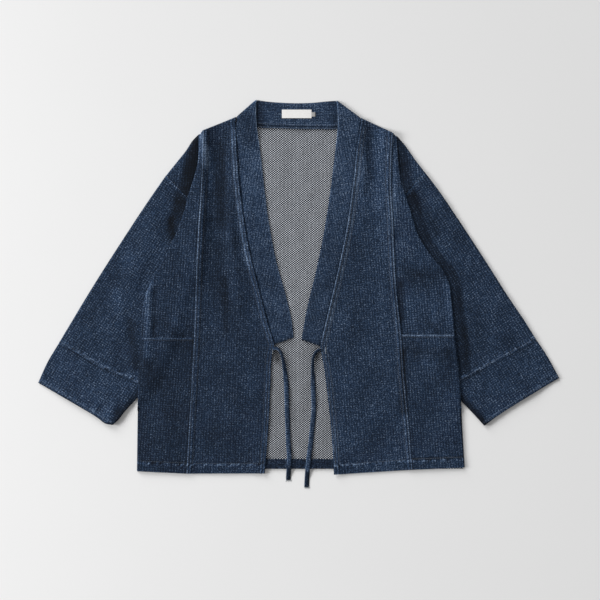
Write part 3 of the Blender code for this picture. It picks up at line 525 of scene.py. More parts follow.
# The points of each route, as x, y and height.
TIES = {
    "left": [(-48.6, -117, 3.2), (-44.5, -115.6, 3.4), (-38.8, -117.6, 3.2), (-33.4, -125, 2.8),
             (-30.2, -136, 2.7), (-27, -154, 2.7), (-24.3, -174.4, 2.7), (-23, -203, 2.7),
             (-22, -232.6, 2.7), (-21, -260, 2.7), (-20, -287.3, 2.7), (-18.8, -308, 2.9),
             (-17.9, -322, 3.9), (-18, -334, 4.1), (-18.6, -345.5, 4), (-19.2, -353, 2.6),
             (-19.6, -360, 1.4), (-19.7, -366.5, 1.25)],
    "right": [(41.6, -119.6, 3.2), (37.2, -120.4, 3.4), (31.8, -125.6, 3.1), (28, -134, 2.8),
              (26.7, -146, 2.7), (27, -166, 2.7), (27.5, -188.9, 2.7), (28.4, -212, 2.7),
              (28.7, -233.5, 2.7), (26.8, -258.2, 2.7), (24.4, -282, 2.7), (22.2, -301.7, 2.8),
              (20, -318, 3.4), (18.4, -330.8, 4.1), (17.2, -345, 4), (16.4, -353.5, 2.6), (15.8, -362, 1.4),
              (15, -380.2, 1.25)],
}

print("each route has", len(TIES["left"]), "points")

# %% A tape and its frayed end
def route_frames(route):
    """Unit vectors ahead, across (level) and up, at each point of a route."""
    ahead = unit(np.gradient(route, axis=0))
    across = unit(np.cross(ahead, (0, 0, 1.0)))
    return ahead, across, np.cross(across, ahead)


def capped(rings):
    """Faces of a row of rings closed by a point at each end, and the points with the two middles added."""
    count, sides = rings.shape[:2]
    points = np.concatenate([rings.reshape(-1, 3), [rings[0].mean(axis=0), rings[-1].mean(axis=0)]])
    side = np.arange(sides)
    first = np.stack([np.full(sides, count * sides), (side + 1) % sides, side, side], axis=1)
    last = (count - 1) * sides
    final = np.stack([np.full(sides, count * sides + 1), last + side, last + (side + 1) % sides], axis=1)
    faces = [*quads(count, sides, closed=True).tolist(), *first[:, :3].tolist(), *final.tolist()]
    return points, faces


def tape_rings(route):
    """Ring points: route + half width * cos * side + half thickness * sin * top, where side and top are the
    level and upright vectors turned about the route."""
    _, across, up = route_frames(route)
    share = np.linspace(0, 1, len(route))
    flat = above(share, *TIE_FLAT_FROM)
    turn = np.radians(TIE_TURN_AT_ROOT) * (1 - flat) + TIE_SWAY[0] * np.sin(TIE_SWAY[1] * share)
    side = np.cos(turn)[:, None] * across + np.sin(turn)[:, None] * up
    top = -np.sin(turn)[:, None] * across + np.cos(turn)[:, None] * up
    angle = np.linspace(0, 2 * np.pi, TIE_SIDES, endpoint=False)
    oval = np.sign(np.cos(angle)) * np.abs(np.cos(angle)) ** 0.8
    width = TIE_WIDTH * (0.85 + 0.15 * flat)
    low = np.abs(np.sin(turn)) * width / 2 + np.cos(turn) * TIE_THICK / 2
    lifted = np.maximum(low + TIE_CLEARANCE - route[:, 2], 0) * (share < ON_BACK)
    centre = route + lifted[:, None] * (0, 0, 1)
    return (centre[:, None] + (width / 2)[:, None, None] * oval[None, :, None] * side[:, None]
            + TIE_THICK / 2 * np.sin(angle)[None, :, None] * top[:, None]), centre


def make_fray(name, route, rng):
    """Loose threads at the tape's end: each a thin tube along a line that fans out, longer in the middle."""
    ahead, across, _ = route_frames(route)
    start, direction, side = route[-1], ahead[-1] * (1, 1, 0), across[-1]
    turn = np.linspace(0, 2 * np.pi, 5, endpoint=False)[None, :, None]
    share = np.linspace(0, 1, 6)[:, None]
    radius = FRAY_THICK / 2 * (1 - 0.5 * share[:, :, None])
    points, faces = [], []
    for spread in np.linspace(-0.46, 0.46, FRAY_THREADS):
        length = FRAY_LENGTH * rng.uniform(0.55, 1.0)
        fan = spread * TIE_WIDTH * (1 + 0.35 * share**2) + rng.normal(0, 0.5) * share**2
        line = start - 1.0 * direction + share * length * direction + fan * side
        line[:, 2] = np.maximum(start[2] - 0.2 - share[:, 0] * 0.6, FRAY_THICK / 2)
        rings = line[:, None] + radius * (np.cos(turn) * side + np.sin(turn) * (0, 0, 1.0))
        some_points, some_faces = capped(rings)
        faces += [[index + sum(map(len, points)) for index in face] for face in some_faces]
        points.append(some_points)
    return new_mesh(name, np.concatenate(points), faces, [pale_thread])


def outward(mesh):
    """An object of a closed mesh, with its faces turned outwards."""
    mesh.validate()
    shape = bmesh.new()
    shape.from_mesh(mesh)
    bmesh.ops.recalc_face_normals(shape, faces=shape.faces)
    shape.to_mesh(mesh)
    shape.free()
    return add_object(mesh.name, mesh)


print("a tape has", TIE_RINGS, "rings of", TIE_SIDES, "points")

# %% Two ties
tie_cloth = indigo_cloth("indigo_tape", -0.01, 0.01, 0.01, 1.4)
TIE_TONE = 0.2
BEYOND_HEM = 34  # the last millimetres of a tie, which lie darker on the floor
rng = np.random.default_rng(7)
for name, table in TIES.items():
    route = along(smooth(table, 16), np.linspace(0, 1, TIE_RINGS))
    rings, centre = tape_rings(route)
    points, faces = capped(rings)
    tie = outward(new_mesh(f"tape_{name}", points, faces, [tie_cloth]))
    reach = np.repeat(reach_of(centre), TIE_SIDES)
    around = np.tile(np.linspace(0, 2.2 * TIE_WIDTH, TIE_SIDES), TIE_RINGS)
    grain = np.concatenate([np.stack([around, reach], axis=1), [[0, 0], [0, reach[-1]]]])
    sideways = np.cos(np.linspace(0, 2 * np.pi, TIE_SIDES, endpoint=False))
    # Painted light along one edge of the tape and painted shade along its other side, so the flat tape looks
    # rounded.
    painted_edge_light_and_shade = np.tile(bells(sideways, (0.5, 0.9, 0.35), (-0.2, -0.7, 0.5)), TIE_RINGS)
    beyond_hem = -0.45 * above(reach - reach[-1], -BEYOND_HEM, 8)
    add_maps(tie.data, grain, np.concatenate([painted_edge_light_and_shade + beyond_hem + TIE_TONE, [0.4, 0.4]]))
    fray = outward(make_fray(f"fray_{name}", centre, rng))
    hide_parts(f"tie_{name}")
    for piece in (tie, fray):
        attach(piece, "root")

# %% [markdown]
# ## The outline of each side
#
# We measured the photographed outline as short lists of points, in millimetres outwards from the middle line
# and up. The two sides are not mirror images, since nobody lays a jacket down quite evenly. Each list becomes
# a smooth line. The folds are the soft ridges and troughs that we found: a line, how high the cloth
# stands on it, and how wide it is.

# %% Measured lines
LINES = {
    "left": {
        "shoulder_neck": [(122, 322.6)],
        "band_inner": [(83.3, 356.2), (79.4, 305.5), (73, 260.5), (64.6, 187.7), (54.9, 115.1), (40.3, 42.4),
                 (23.4, -18.2), (12.4, -66.7), (9.1, -95.8)],
        "band_seam": [(122, 322.6), (119.3, 282.2), (114.6, 209.6), (107.7, 150.3), (99.4, 97.7),
                 (87.4, 40.1), (75.6, -4.2), (60.8, -62.5), (46.5, -109)],
        "front_edge": [(46.5, -109), (51.6, -133.6), (54.2, -188.9), (57.8, -261.6), (65, -354)],
        "princess": [(181.8, 298.6), (182.8, 237.7), (185.8, 175.8), (190, 114.6), (193.4, 50),
                 (197.8, -73.7), (203.1, -175.6), (207.7, -256.3), (213.2, -354.4)],
        "body_side": [(190.2, 290.8), (190.5, 262), (192, 238), (201, 202.7), (211, 170), (224.8, 121.4),
                 (243.6, 79), (262.2, 43.3), (282.5, 6.1), (292.6, -21.1), (297.7, -62.5), (300.5, -110),
                 (304.8, -178.4), (306.3, -240), (307.8, -350)],
        "shoulder_slope": [(190.2, 290.8), (201.4, 279.3), (214.2, 260), (232.2, 237.4), (252.1, 212.6)],
        "hidden_armhole": [(211, 170), (193, 120), (196, 55), (215, 0)],
        "sleeve_outer": [(252.1, 212.6), (283.3, 167.8), (341, 80.3), (400, -13), (429.8, -62.5),
                 (457, -108)],
        "sleeve_inner": [(215, 0), (240, -75), (268, -145), (292, -190)],
        "cuff_seam": [(457, -108), (440.2, -115.7), (373.7, -154.5), (335.2, -169.9), (292, -190)],
        "cuff_outer": [(457, -108), (477.5, -142.4), (495.4, -181.7)],
        "cuff_inner": [(292, -190), (305.7, -209.2), (331.9, -238.6), (346.6, -257), (352.5, -261.5)],
        "cuff_edge": [(495.4, -181.7), (415.9, -227.4), (381, -248.5), (366.1, -259.5), (352.5, -261.5)],
    },
    "right": {
        "shoulder_neck": [(121, 320.7)],
        "band_inner": [(74.9, 354.9), (73.9, 301.3), (69.2, 260.5), (59.5, 180.5), (47.3, 103), (31.5, 25.5),
                 (14.8, -42.8), (4.8, -100.1)],
        "band_seam": [(121, 320.7), (111.4, 267.7), (105.6, 209.6), (102.2, 184.5), (92.2, 115.1),
                 (77.5, 42.4), (60.6, -30.4), (41, -112.4)],
        "front_edge": [(41, -112.4), (49.8, -159.8), (54.1, -196.1), (61.4, -261.6), (65, -309.5),
                 (67.4, -356.4)],
        "princess": [(178.4, 294), (175.2, 217.7), (175.6, 180), (178.4, 131.7), (180.7, 73.9), (183.2, 23),
                 (187.7, -24.5), (194.6, -87.8), (199.9, -165.1), (206.9, -235.4), (216.4, -347)],
        "body_side": [(187, 287.6), (189.5, 244), (195.9, 199.5), (202.5, 177), (216.2, 133.2),
                 (226.5, 101.1), (241.7, 73.9), (258.6, 51.9), (275.7, 29.8), (286.5, 5), (290.3, -24.5),
                 (298.3, -97.3), (306.5, -177.1), (309, -224), (312.4, -288), (315.8, -342.6)],
        "shoulder_slope": [(187, 287.6), (202.5, 269.6), (217.6, 247.9), (239, 219.5)],
        "hidden_armhole": [(202.5, 177), (188, 125), (192, 58), (210, 5)],
        "sleeve_outer": [(239, 219.5), (261.4, 190.4), (299.1, 135.4), (352.1, 54.6), (402.9, -25.1),
                 (428.3, -62.5), (451.5, -99.5)],
        "sleeve_inner": [(210, 5), (236, -75), (264, -145), (286, -191)],
        "cuff_seam": [(451.5, -99.5), (440, -107.7), (396.5, -130.9), (329.7, -167.2), (286, -191)],
        "cuff_outer": [(451.5, -99.5), (470.2, -127.4), (495.2, -172.5)],
        "cuff_inner": [(286, -191), (308.8, -216.2), (333.5, -242.4), (352.5, -263.2)],
        "cuff_edge": [(495.2, -172.5), (416.3, -219.9), (373, -247.9), (352.5, -263.2)],
    },
}
BACK_NECK = smooth([(-116.5, 318.6), (-79.4, 304.4), (-38, 301.9), (2.5, 300.3), (40, 300.2), (74, 300.6),
                    (116, 316.8)])
BAND_TOP = smooth([(-83.3, 356.2), (-60, 353), (-36.5, 351.1), (2.5, 350), (30, 351), (49.4, 353),
                   (74.9, 354.9)])
POCKET_TOP = {"left": -96.5, "right": -90.5}
LABEL_BOX = (-31.9, 24.3, 321.1, 337.3)
SIZE_TAB_BOX = (24.6, 31.4, 324.1, 332.3)
HEM_STRIP = (-77.0, 77.0, -345.4, -326.8)
print("measured", sum(len(rows) for side in LINES.values() for rows in side.values()), "points")

# %% The large folds, which the solids have too
# Each row is a line from x, y to x, y, then the height of the cloth on it and the width of its bump.
FRONT_FOLDS = {
    "left": [(129, 262, 126, 90, 3.2, 11), (126, 90, 112, -40, 2, 14), (180, 275, 183, 130, 2.6, 12),
             (183, 130, 190, -60, 1.2, 16), (285, -4, 290, -150, 1.7, 8), (271, -4, 273, -95, -0.5, 6),
             (120, -150, 140, -300, 1, 20), (245, -140, 262, -300, 0.9, 22)],
    "right": [(122, 280, 120, 190, 2.4, 11), (166, 285, 166, 100, 3, 14), (166, 100, 172, -80, 1.5, 16),
              (230, 25, 246, -20, 1.4, 22), (200, -190, 150, -280, 1.2, 16), (100, -60, 95, -230, 1.3, 18),
              (262, -60, 285, -200, 1, 14)],
}
SLEEVE_FOLDS = {
    "left": [(275, 120, 318, 0, 1.7, 20), (330, 20, 395, -100, 1.3, 22), (318, -60, 330, -150, -0.9, 14),
             (420, -110, 445, -160, 0.9, 16)],
    "right": [(262, 150, 318, 40, 1.6, 18), (345, 0, 385, -90, 1.5, 24), (300, -10, 318, -130, -0.8, 14),
              (400, -140, 430, -190, 1, 20)],
}

print("front folds:", {side: len(table) for side, table in FRONT_FOLDS.items()})

# %% Creases, patches and ripples
def creases(table, x, y, fading=0.0):
    """The height and the tone that a table of folds gives. Each row counts as a bell of the distance from
    its line, less the share `fading` at the line's far end. Its last number is the tone, if it has seven."""
    height, tone = np.zeros_like(x), np.zeros_like(x)
    for x0, y0, x1, y1, rise, width, *shade in table:
        run, climb = x1 - x0, y1 - y0
        share = np.clip(((x - x0) * run + (y - y0) * climb) / (run**2 + climb**2), 0, 1)
        away = np.hypot(x - x0 - share * run, y - y0 - share * climb)
        bump = bell(away, width) * (1 - fading * share)
        height, tone = height + rise * bump, tone + sum(shade) * bump
    return height, tone


def patch(first, last, start, end, down, across):
    """A Coons patch in plan: the two ruled surfaces between opposite lines, added, less the bilinear one
    between the corners."""
    first, last = along(first, across)[None], along(last, across)[None]
    start, end = along(start, down)[:, None], along(end, down)[:, None]
    u, v = np.asarray(across)[None, :, None], np.asarray(down)[:, None, None]
    corners = ((1 - v) * ((1 - u) * first[:, :1] + u * first[:, -1:])
               + v * ((1 - u) * last[:, :1] + u * last[:, -1:]))
    return (1 - v) * first + v * last + (1 - u) * start + u * end - corners


def ripple(x, y, wavelength, seed):
    """Uneven cloth: ten level waves of about one wavelength in random directions, scaled to unit spread."""
    random = np.random.default_rng(seed)
    turn, phase = random.uniform(0, np.pi, 10), random.uniform(0, 2 * np.pi, 10)
    rate = 2 * np.pi / (wavelength * random.uniform(0.75, 1.35, 10))
    waves = [np.cos(r * (x * np.cos(t) + y * np.sin(t)) + p) for r, t, p in zip(rate, turn, phase)]
    return np.sum(waves, axis=0) / np.sqrt(5)


def uneven(x, y, *waves):
    """The sum of ripples, each given as its height, its wavelength and the seed of its random draws."""
    return sum(height * ripple(x, y, wavelength, seed) for height, wavelength, seed in waves)


print("the fold tools are ready")

# %% [markdown]
# ## How high the cloth lies
#
# Everything rests on something: the back on the floor, the sleeves on the floor and, inside the body, on the
# back, and the fronts on both. So a height is a sum of steps and bells: up over the sleeve, up beside a seam
# where several layers lie on each other, and the folds on top. The finer creases below are in the cloth
# alone. Each carries a tone as well: painted shade that darkens a trough, and painted light that makes a
# ridge paler, along with its rubbed dye. From here on a bump is written as its height or its tone, times a
# bell of the distance from its middle and of its width in millimetres. The heights were found one bump at a
# time, against what the cloth looks like.

# %% The layers
CLOTH = 1.2  # how thick the cloth is, in millimetres as all that follows
BAND = 2.8  # the doubled band
SEAM = 0.3  # the gap between neighbours
BACK_MID = CLOTH / 2  # how high the middle of each layer lies: the back
SLEEVE_UNDER_MID = CLOTH / 2 + 0.02  # a sleeve's lower layer on the floor
TUCKED_MID = CLOTH + SEAM + CLOTH / 2 + 0.05  # and inside the body
FRONT_MID = TUCKED_MID + 0.2
BAND_MID = CLOTH + SEAM + BAND / 2 + 0.15  # the band on the back, and over its own length at the neck
BAND_OVER_MID = BAND + SEAM + BAND / 2 + 0.2
SLEEVE_LIFT = 3.8  # how far the sleeve inside lifts a front
SLEEVE_FULLNESS = 1.7  # the hollow between the two layers of a sleeve
PRESSED = 0.7  # how much flatter a sleeve is towards its open end
CUFF_FULLNESS = {"left": 4.0, "right": 2.2}  # but its inner corner stands up
MOST_HOLLOW = 8.5
TUCKED_FULLNESS = 0.45  # the hollow of the part inside the body
ROLL = 2.4  # how far out an edge rolls, and the band's fold
BAND_ROLL = 3.6
SLEEVE_LIFT_FROM = (-32, 30)  # where the lift starts, from the sleeve's edge, and how wide it is
NECK_HUMP = (1.6, 26)  # height and width of the fronts' rise at the neck
HEM_STRIP_LIFT = 1.7
ROLL_CLEARANCE = 0.8  # between a side's rolled edge and the sleeve
BACK_INSET = 3.4  # how far the back's cut lies inside the outline
BACK_UNDER_SEAM = 2.0  # but it reaches out under the armhole seam
SIDE_TO_FLOOR = (-246, 20)  # where the side's edge leaves the sleeve for the floor, and how soon
LOWEST_FOLD_OF_SLEEVE = -228  # below this height, no sleeve lies inside the body
HEM_DEPTH = 19.0
POCKET_ROW = 2.4  # rows of stitches, from their edges
CUFF_ROW = 3.0
CUFF_EDGE_ROW = 5.5
BAND_ROWS = (3.8, 10.5)  # and two rows beside the seam of the band and of the side panel
PRINCESS_ROWS = (2.6, 10.0)

print("the cloth lies between", BACK_MID, "and", BAND_OVER_MID, "mm up")

# %% Creases and tones of the two sides
# Rows as for the folds, with the tone of the crease at the end: below 0 it is painted shade in a trough,
# above 0 painted light on a ridge together with its rubbed dye. Rows of no height are painted light or shade
# alone.
FRONT_CREASES = {
    "left": [(149, 268, 147, 120, -0.35, 13, -0.3), (155, 82, 149, -20, -0.3, 14, -0.24),
             (183, 290, 176, 232, 0.5, 7, 0.75), (124, 295, 113, 125, 0.2, 7, 0.42),
             (284, 10, 286, -130, 0.4, 7, 0.6), (274, -5, 275, -95, -0.5, 5, -0.3),
             (232, 60, 250, -60, -0.3, 16, -0.1), (205, 120, 215, -40, 0.2, 12, 0.06),
             (90, -40, 96, -200, 0.2, 14, 0.08), (150, -230, 175, -320, -0.3, 14, -0.08),
             (112, 112, 97, 45, 0.3, 8, 0.5), (240, -58, 224, -74, 0.3, 9, 0.28),
             (139, 15, 139, -84, -0.3, 7, -0.28), (171, 262, 169, 188, 0, 5, 0.65),
             (143, 262, 143, 200, 0, 6, -0.16)],
    "right": [(134, 300, 138, 212, -0.5, 8, -0.3), (142, 188, 140, 145, 0.1, 14, 0.15),
              (152, 290, 157, 165, 0.3, 15, 0.25), (124, 250, 112, 100, 0.2, 8, 0.12),
              (200, 34, 262, -12, -0.4, 19, -0.26), (284, 0, 287, -70, 0.5, 8, 0.28),
              (249, -70, 270, -92, -0.5, 5, -0.26), (183, -214, 128, -310, -0.4, 13, -0.1),
              (205, 110, 196, 50, 0.2, 12, 0.1), (118, 60, 104, -120, -0.3, 14, -0.08),
              (222, 24, 285, 26, -0.3, 13, -0.3), (259, -8, 259, -58, 0.4, 9, 0.25),
              (228, -122, 282, -126, -0.2, 14, -0.3), (193, 8, 195, -60, 0, 7, -0.55),
              (197, -120, 199, -235, 0, 7, -0.6), (122, 235, 118, 165, 0, 10, 0.16),
              (182, 255, 180, 112, 0, 5, 0.38)],
}
SLEEVE_CREASES = {
    "left": [(283, 99, 321, -25, 0.3, 13, 0.14), (319, -66, 311, -150, -0.4, 9, -0.4),
             (345, 30, 390, -70, -0.3, 14, -0.1), (343, -12, 337, -84, 0.3, 9, 0.28),
             (262, 175, 330, 60, 0.2, 13, 0.08), (372, -70, 410, -150, 0.3, 14, 0.08),
             (243, 128, 239, 95, -0.2, 8, -0.6), (236, 200, 240, 168, -0.2, 8, -0.22)],
    "right": [(300, 90, 345, 0, 0.3, 13, 0.1), (330, -30, 352, -120, -0.4, 12, -0.12),
              (372, 0, 400, -60, 0.2, 14, 0.1), (250, 180, 300, 110, 0.2, 11, 0.06),
              (224, 175, 262, 105, -0.2, 11, -0.26), (318, -78, 324, -126, -0.3, 8, -0.32)],
}
VALLEY_SOFT = 11
# The pleats' tone paints light on their ridges and shade in their troughs.
CUFF_PLEATS = {
    "left": [(391, -235, 376, -211, 0.4, 4, 0.28), (382, -237, 370, -216, -0.4, 3, -0.4),
             (362, -240, 346, -209, 0.5, 7, 0.3), (347, -240, 339, -218, -0.5, 4, -0.5)],
    "right": [],
}
# Painted shade on the sleeve along the body's fold, where the sleeve goes under the body.
VALLEY_SHADE = {"left": (-0.62, 19, 85), "right": (-0.43, 16, -215)}  # tone, width, and where it ends
SIDE_TONE = {"left": (-0.02, -0.17), "right": (0.16, 0.08)}  # of the centre front and the side panel
SLEEVE_TONE = 0.10

print("front creases:", {side: len(table) for side, table in FRONT_CREASES.items()})

# %% One side of the garment
class Side:
    """The lines, the heights and the tones of one side of the garment, with x outwards from the middle."""

    def __init__(self, name):
        """Smooths the measured lines, and joins those that several pieces share."""
        self.name = name
        self.sign = -1 if name == "left" else 1
        self.line = {key: smooth(rows) if len(rows) > 1 else np.array(rows, float)
                     for key, rows in LINES[name].items()}
        self.shoulder_neck = self.line["shoulder_neck"][0]
        self.inner_edge = np.concatenate([self.line["band_seam"], self.line["front_edge"][1:]])
        self.armpit = self.line["hidden_armhole"][0]
        self.shoulder_tip = self.line["shoulder_slope"][-1]
        inner = np.concatenate([self.line["hidden_armhole"], self.line["sleeve_inner"][1:],
                                self.line["cuff_inner"][1:13]])
        above = [(self.shoulder_neck[0] + 60, 300), (self.armpit[0] - 14, 205)]
        self.sleeve_limit = np.concatenate([above, inner, [(345, -237), (420, -262)]])
        body = self.line["body_side"]
        self.silhouette = np.concatenate([self.shoulder_tip[None], body[body[:, 1] <= self.armpit[1]]])

    def outside(self, x, y, start, width):
        """0 inside the body, 1 outside it, with a smooth step that starts a little way out."""
        share = above(x - x_at(self.silhouette, y), start, width)
        return np.where(y < LOWEST_FOLD_OF_SLEEVE, 1.0, share)

    def sleeve_under(self, x, y):
        """From the tucked height inside the body down to the floor outside it."""
        return TUCKED_MID + 0.02 + (SLEEVE_UNDER_MID - TUCKED_MID) * self.outside(x, y, 9, 15)

    def sleeve_over(self, x, y):
        """The under layer, plus the cloth, plus the hollow with its folds and creases."""
        free = self.outside(x, y, 8, 16)
        full = SLEEVE_FULLNESS - PRESSED * below(y, -60, 90)
        full = full + CUFF_FULLNESS[self.name] * below(y, -172, 55)
        hollow = TUCKED_FULLNESS + (full - TUCKED_FULLNESS) * free
        hollow += free * (creases(SLEEVE_FOLDS[self.name], x, y)[0] + self.sleeve_creases(x, y)[0])
        hollow += free * uneven(x, y, (0.30, 55, 3), (0.12, 17, 4))
        return self.sleeve_under(x, y) + CLOTH + np.clip(hollow, TUCKED_FULLNESS, MOST_HOLLOW)

    def sleeve_creases(self, x, y):
        """The height and the tone of the sleeve's creases and of the cuff's pleats, which fade upwards."""
        pleats = creases(CUFF_PLEATS[self.name], x, y, 0.8)
        return np.add(creases(SLEEVE_CREASES[self.name], x, y), pleats)

    def sleeve_tone(self, x, y):
        """The creases' tone, and the dark valley along the body's fold, narrower towards the shoulder."""
        # The valley's darkness is painted shade along the body's fold.
        strength, width, end = VALLEY_SHADE[self.name]
        width = width * (1 - 0.65 * above(y, 235, 50))
        beside = 1 - above(x - x_at(self.line["body_side"], y), width, VALLEY_SOFT)
        beside = beside * above(y, end, 70)
        return (SLEEVE_TONE + self.sleeve_creases(x, y)[1] + strength * beside
                + uneven(x, y, (0.05, 60, 5), (0.035, 14, 6)))

    def front(self, x, y):
        """On the back, up over the sleeve inside, beside the band, the neck and the hem strip, plus folds."""
        lift = above(x - x_at(self.sleeve_limit, y), *SLEEVE_LIFT_FROM)
        height = FRONT_MID + SLEEVE_LIFT * lift + uneven(x, y, (0.22, 60, 7), (0.10, 19, 8))
        height += creases(FRONT_FOLDS[self.name] + FRONT_CREASES[self.name], x, y)[0]
        from_band = x - x_at(self.inner_edge, y)
        height += (0.5 + 1.9 * above(y, -125, 30)) * bell(from_band, 8)
        from_neck = np.hypot(x - self.shoulder_neck[0], y - self.shoulder_neck[1])
        height += NECK_HUMP[0] * bell(from_neck, NECK_HUMP[1])
        height += HEM_STRIP_LIFT * below(x, 95, 14) * below(y, -312, 12)
        return np.maximum(height, FRONT_MID)

    def front_tone(self, x, y):
        """The two panels' own tones, the creases' tone and a slow unevenness."""
        # The creases' tone paints shade in troughs and light on ridges.
        centre, panel = SIDE_TONE[self.name]
        beyond = above(x - x_at(self.line["princess"], y), -1, 2) * below(y, 270, 60)
        return (centre + (panel - centre) * beyond + creases(FRONT_CREASES[self.name], x, y)[1]
                + uneven(x, y, (0.05, 70, 9), (0.035, 15, 10)))

    def place(self, grid):
        """A grid of this side in the garment's own x."""
        grid = grid.copy()
        grid[..., 0] *= self.sign
        return grid


left, right = Side("left"), Side("right")
print("the body is", round(float(left.silhouette[-1, 0] + right.silhouette[-1, 0])), "mm wide at the hem")

# %% [markdown]
# ## Edges, grain and sewing
#
# A cut edge never shows, because it is folded under: from outside the cloth rolls down to what it lies on.
# So a grid gets more rows that follow a quarter of a circle. The grain map is the plan itself, turned the way
# the piece was cut. Last, one function makes a grid into cloth with its grain map, hides the solid that it
# stands for, and hangs it on the garment's root.

# %% Rolled edges
ROLL_TURN = np.radians([15, 30, 45, 60, 75, 90])


def roll(row, away, foot):
    """Rows that roll away from a row of points: out by the sine of the turn, and down to the foot's height
    by the cosine."""
    return np.stack([raised(row[:, :2] + np.sin(turn) * away, foot + np.cos(turn) * (row[:, 2] - foot))
                     for turn in ROLL_TURN])


def rolled(grid, outer, foot):
    """A grid with more columns, which roll from its last one to the outer line."""
    return np.concatenate([grid, roll(grid[:, -1], outer - grid[:, -1, :2], foot).swapaxes(0, 1)], axis=1)


def roll_down(grid, reach, foot=0.0):
    """A grid with more rows before its first one, which roll away from it."""
    away = reach * unit(grid[0, :, :2] - grid[1, :, :2])
    return np.concatenate([roll(grid[0], away, foot)[::-1], grid])


def over_roll(values):
    """A grid of values with its first row repeated over the rows that roll_down adds."""
    return np.concatenate([np.repeat(values[:1], len(ROLL_TURN), axis=0), values])


print("an edge rolls over", len(ROLL_TURN), "rows")

# %% Strips and grain
def from_row(plan, row=-1):
    """How far each point of a plan lies from one row of it, down its own column. The last row is the hem."""
    return np.linalg.norm(plan - plan[row], axis=2)


NARROW = 7.0  # a strip narrower than this has its fine columns closer


def strip(start, end, near, far, middle):
    """A plan between two lines, with columns at set distances from both and even ones between, so that seams
    get fine columns whatever its width. Also how far each point lies from the first line and the second."""
    width = np.linalg.norm(end - start, axis=1)[:, None]
    fit = np.minimum(1, width / NARROW)
    first, last = np.array([near]) * fit / width, 1 - np.array([far[::-1]]) * fit / width
    even = np.linspace(0, 1, middle + 2)[1:-1][None]
    across = np.concatenate([first, first[:, -1:] + even * (last[:, :1] - first[:, -1:]), last], axis=1)
    return start[:, None] + across[..., None] * (end - start)[:, None], across * width, (1 - across) * width


def grain_map(plan, lean, seed):
    """Metres across and along the grain: the plan turned by the lean, outwards as it goes down, and moved
    by a chance distance so that no two pieces match at a seam."""
    turn = np.radians(lean)
    shift = np.random.default_rng(seed).uniform(0, 900, 2)
    across = plan[..., 0] * np.cos(turn) + plan[..., 1] * np.sin(turn)
    down = -plan[..., 0] * np.sin(turn) + plan[..., 1] * np.cos(turn)
    return np.stack([across + shift[0], down + shift[1]], axis=-1)


print("strips and grain maps are ready")


def sew(node, grid, grain, tone, cloth=(indigo, reverse), thickness=CLOTH,
        closed=False, faces=None):
    """Makes a piece of cloth for a node with its grain map, hides the node's solid, and hangs the piece on
    the root.
    """
    faces = quads(*grid.shape[:2], closed=closed) if faces is None else faces
    points = grid.reshape(-1, 3)
    if closed:
        wrong = inside_out(points - points.mean(axis=0), faces)
    else:
        wrong = vertex_normals(points, faces)[:, 2].mean() < 0
    faces = faces[:, ::-1] if wrong else faces
    piece = cloth_wall("cloth_" + node, grid, thickness, grain, tone, cloth, faces)
    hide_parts(node)
    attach(piece, "root")


print("pieces are ready to be cut")

# %% [markdown]
# ## The back
#
# The back is one flat piece on the floor, a little inside the outline so that the fronts' rolled edges hide
# its cut. We see its wrong side through the open front, and the strip of its turned-up hem. The tone paints
# shade below the neck band and beside the fronts, the ties' shadows, and light along the left band's edge.

# %% The back and its hem
# Painted shade on the wrong side inside the ties' loops, and the painted shadow of the left tie beside it.
PAINTED_TIE_SHADOWS = [(-42, -122, -41, -138, 0, 7, -0.65), (36, -120, 35, -134, 0, 7, -0.6),
               (-24, -145, -13, -250, 0, 6, -0.25)]  # the dark reverse inside the ties' loops


def make_back():
    """A patch between the neck, the hem and the two side edges, a little wavy where it shows."""
    edges = []
    for side in (left, right):
        outline = np.concatenate([side.line["shoulder_slope"], side.silhouette[1:]])
        at_seam = (outline[:, 1] < side.shoulder_tip[1] - 4) & (outline[:, 1] > side.armpit[1] - 1)
        edge = moved_in(outline, np.where(at_seam, -BACK_UNDER_SEAM, BACK_INSET)[:, None])
        hem_point = np.array([[x_at(edge, HEM_STRIP[2]), HEM_STRIP[2]]])
        edges.append(side.place(np.concatenate([edge[edge[:, 1] > HEM_STRIP[2]], hem_point])))
    neck = along(BACK_NECK, np.linspace(0.01, 0.99, 60)) - (0, SEAM / 2)
    top = np.concatenate([edges[0][:1], neck, edges[1][:1]])
    hem = np.stack([edges[0][-1], (0.0, HEM_STRIP[2]), edges[1][-1]])
    plan = patch(top, hem, edges[0], edges[1], np.linspace(0, 1, 140), np.linspace(0, 1, 130))
    x, y = plan[..., 0], plan[..., 1]
    shown = below(np.abs(x), 90, 30) * below(y, 300, 60) * above(y, -330, 40)
    height = BACK_MID + shown * np.clip(uneven(x, y, (0.18, 45, 11), (0.1, 20, 12)), 0, 0.45)
    edge_x = np.where(x < 0, x_at(left.line["band_inner"], y), x_at(right.line["band_inner"], y))
    from_edge = np.maximum(edge_x - np.abs(x), 0)
    below_neck = np.maximum(np.interp(x, BACK_NECK[:, 0], BACK_NECK[:, 1]) - y, 0)
    # Painted light along the left band's inner edge, where its shadow falls on the wrong side; elsewhere
    # painted shade beside the fronts' edges; then painted shade just below the neck seam, the ties' painted
    # shadows, and a little darker towards the hem.
    painted_light_edge = (x < 0) & (y > -100)
    tone = (np.where(painted_light_edge, 0.35 * bell(from_edge - 1.5, 3.0), -0.12 * bell(from_edge, 7))
            - 0.55 * bell(below_neck, 4) + creases(PAINTED_TIE_SHADOWS, x, y)[1] - 0.03 * below(y, -90, 40)
            + uneven(x, y, (0.03, 40, 13)))
    sew("back", raised(plan, height), plan + 400, tone, (reverse, indigo))


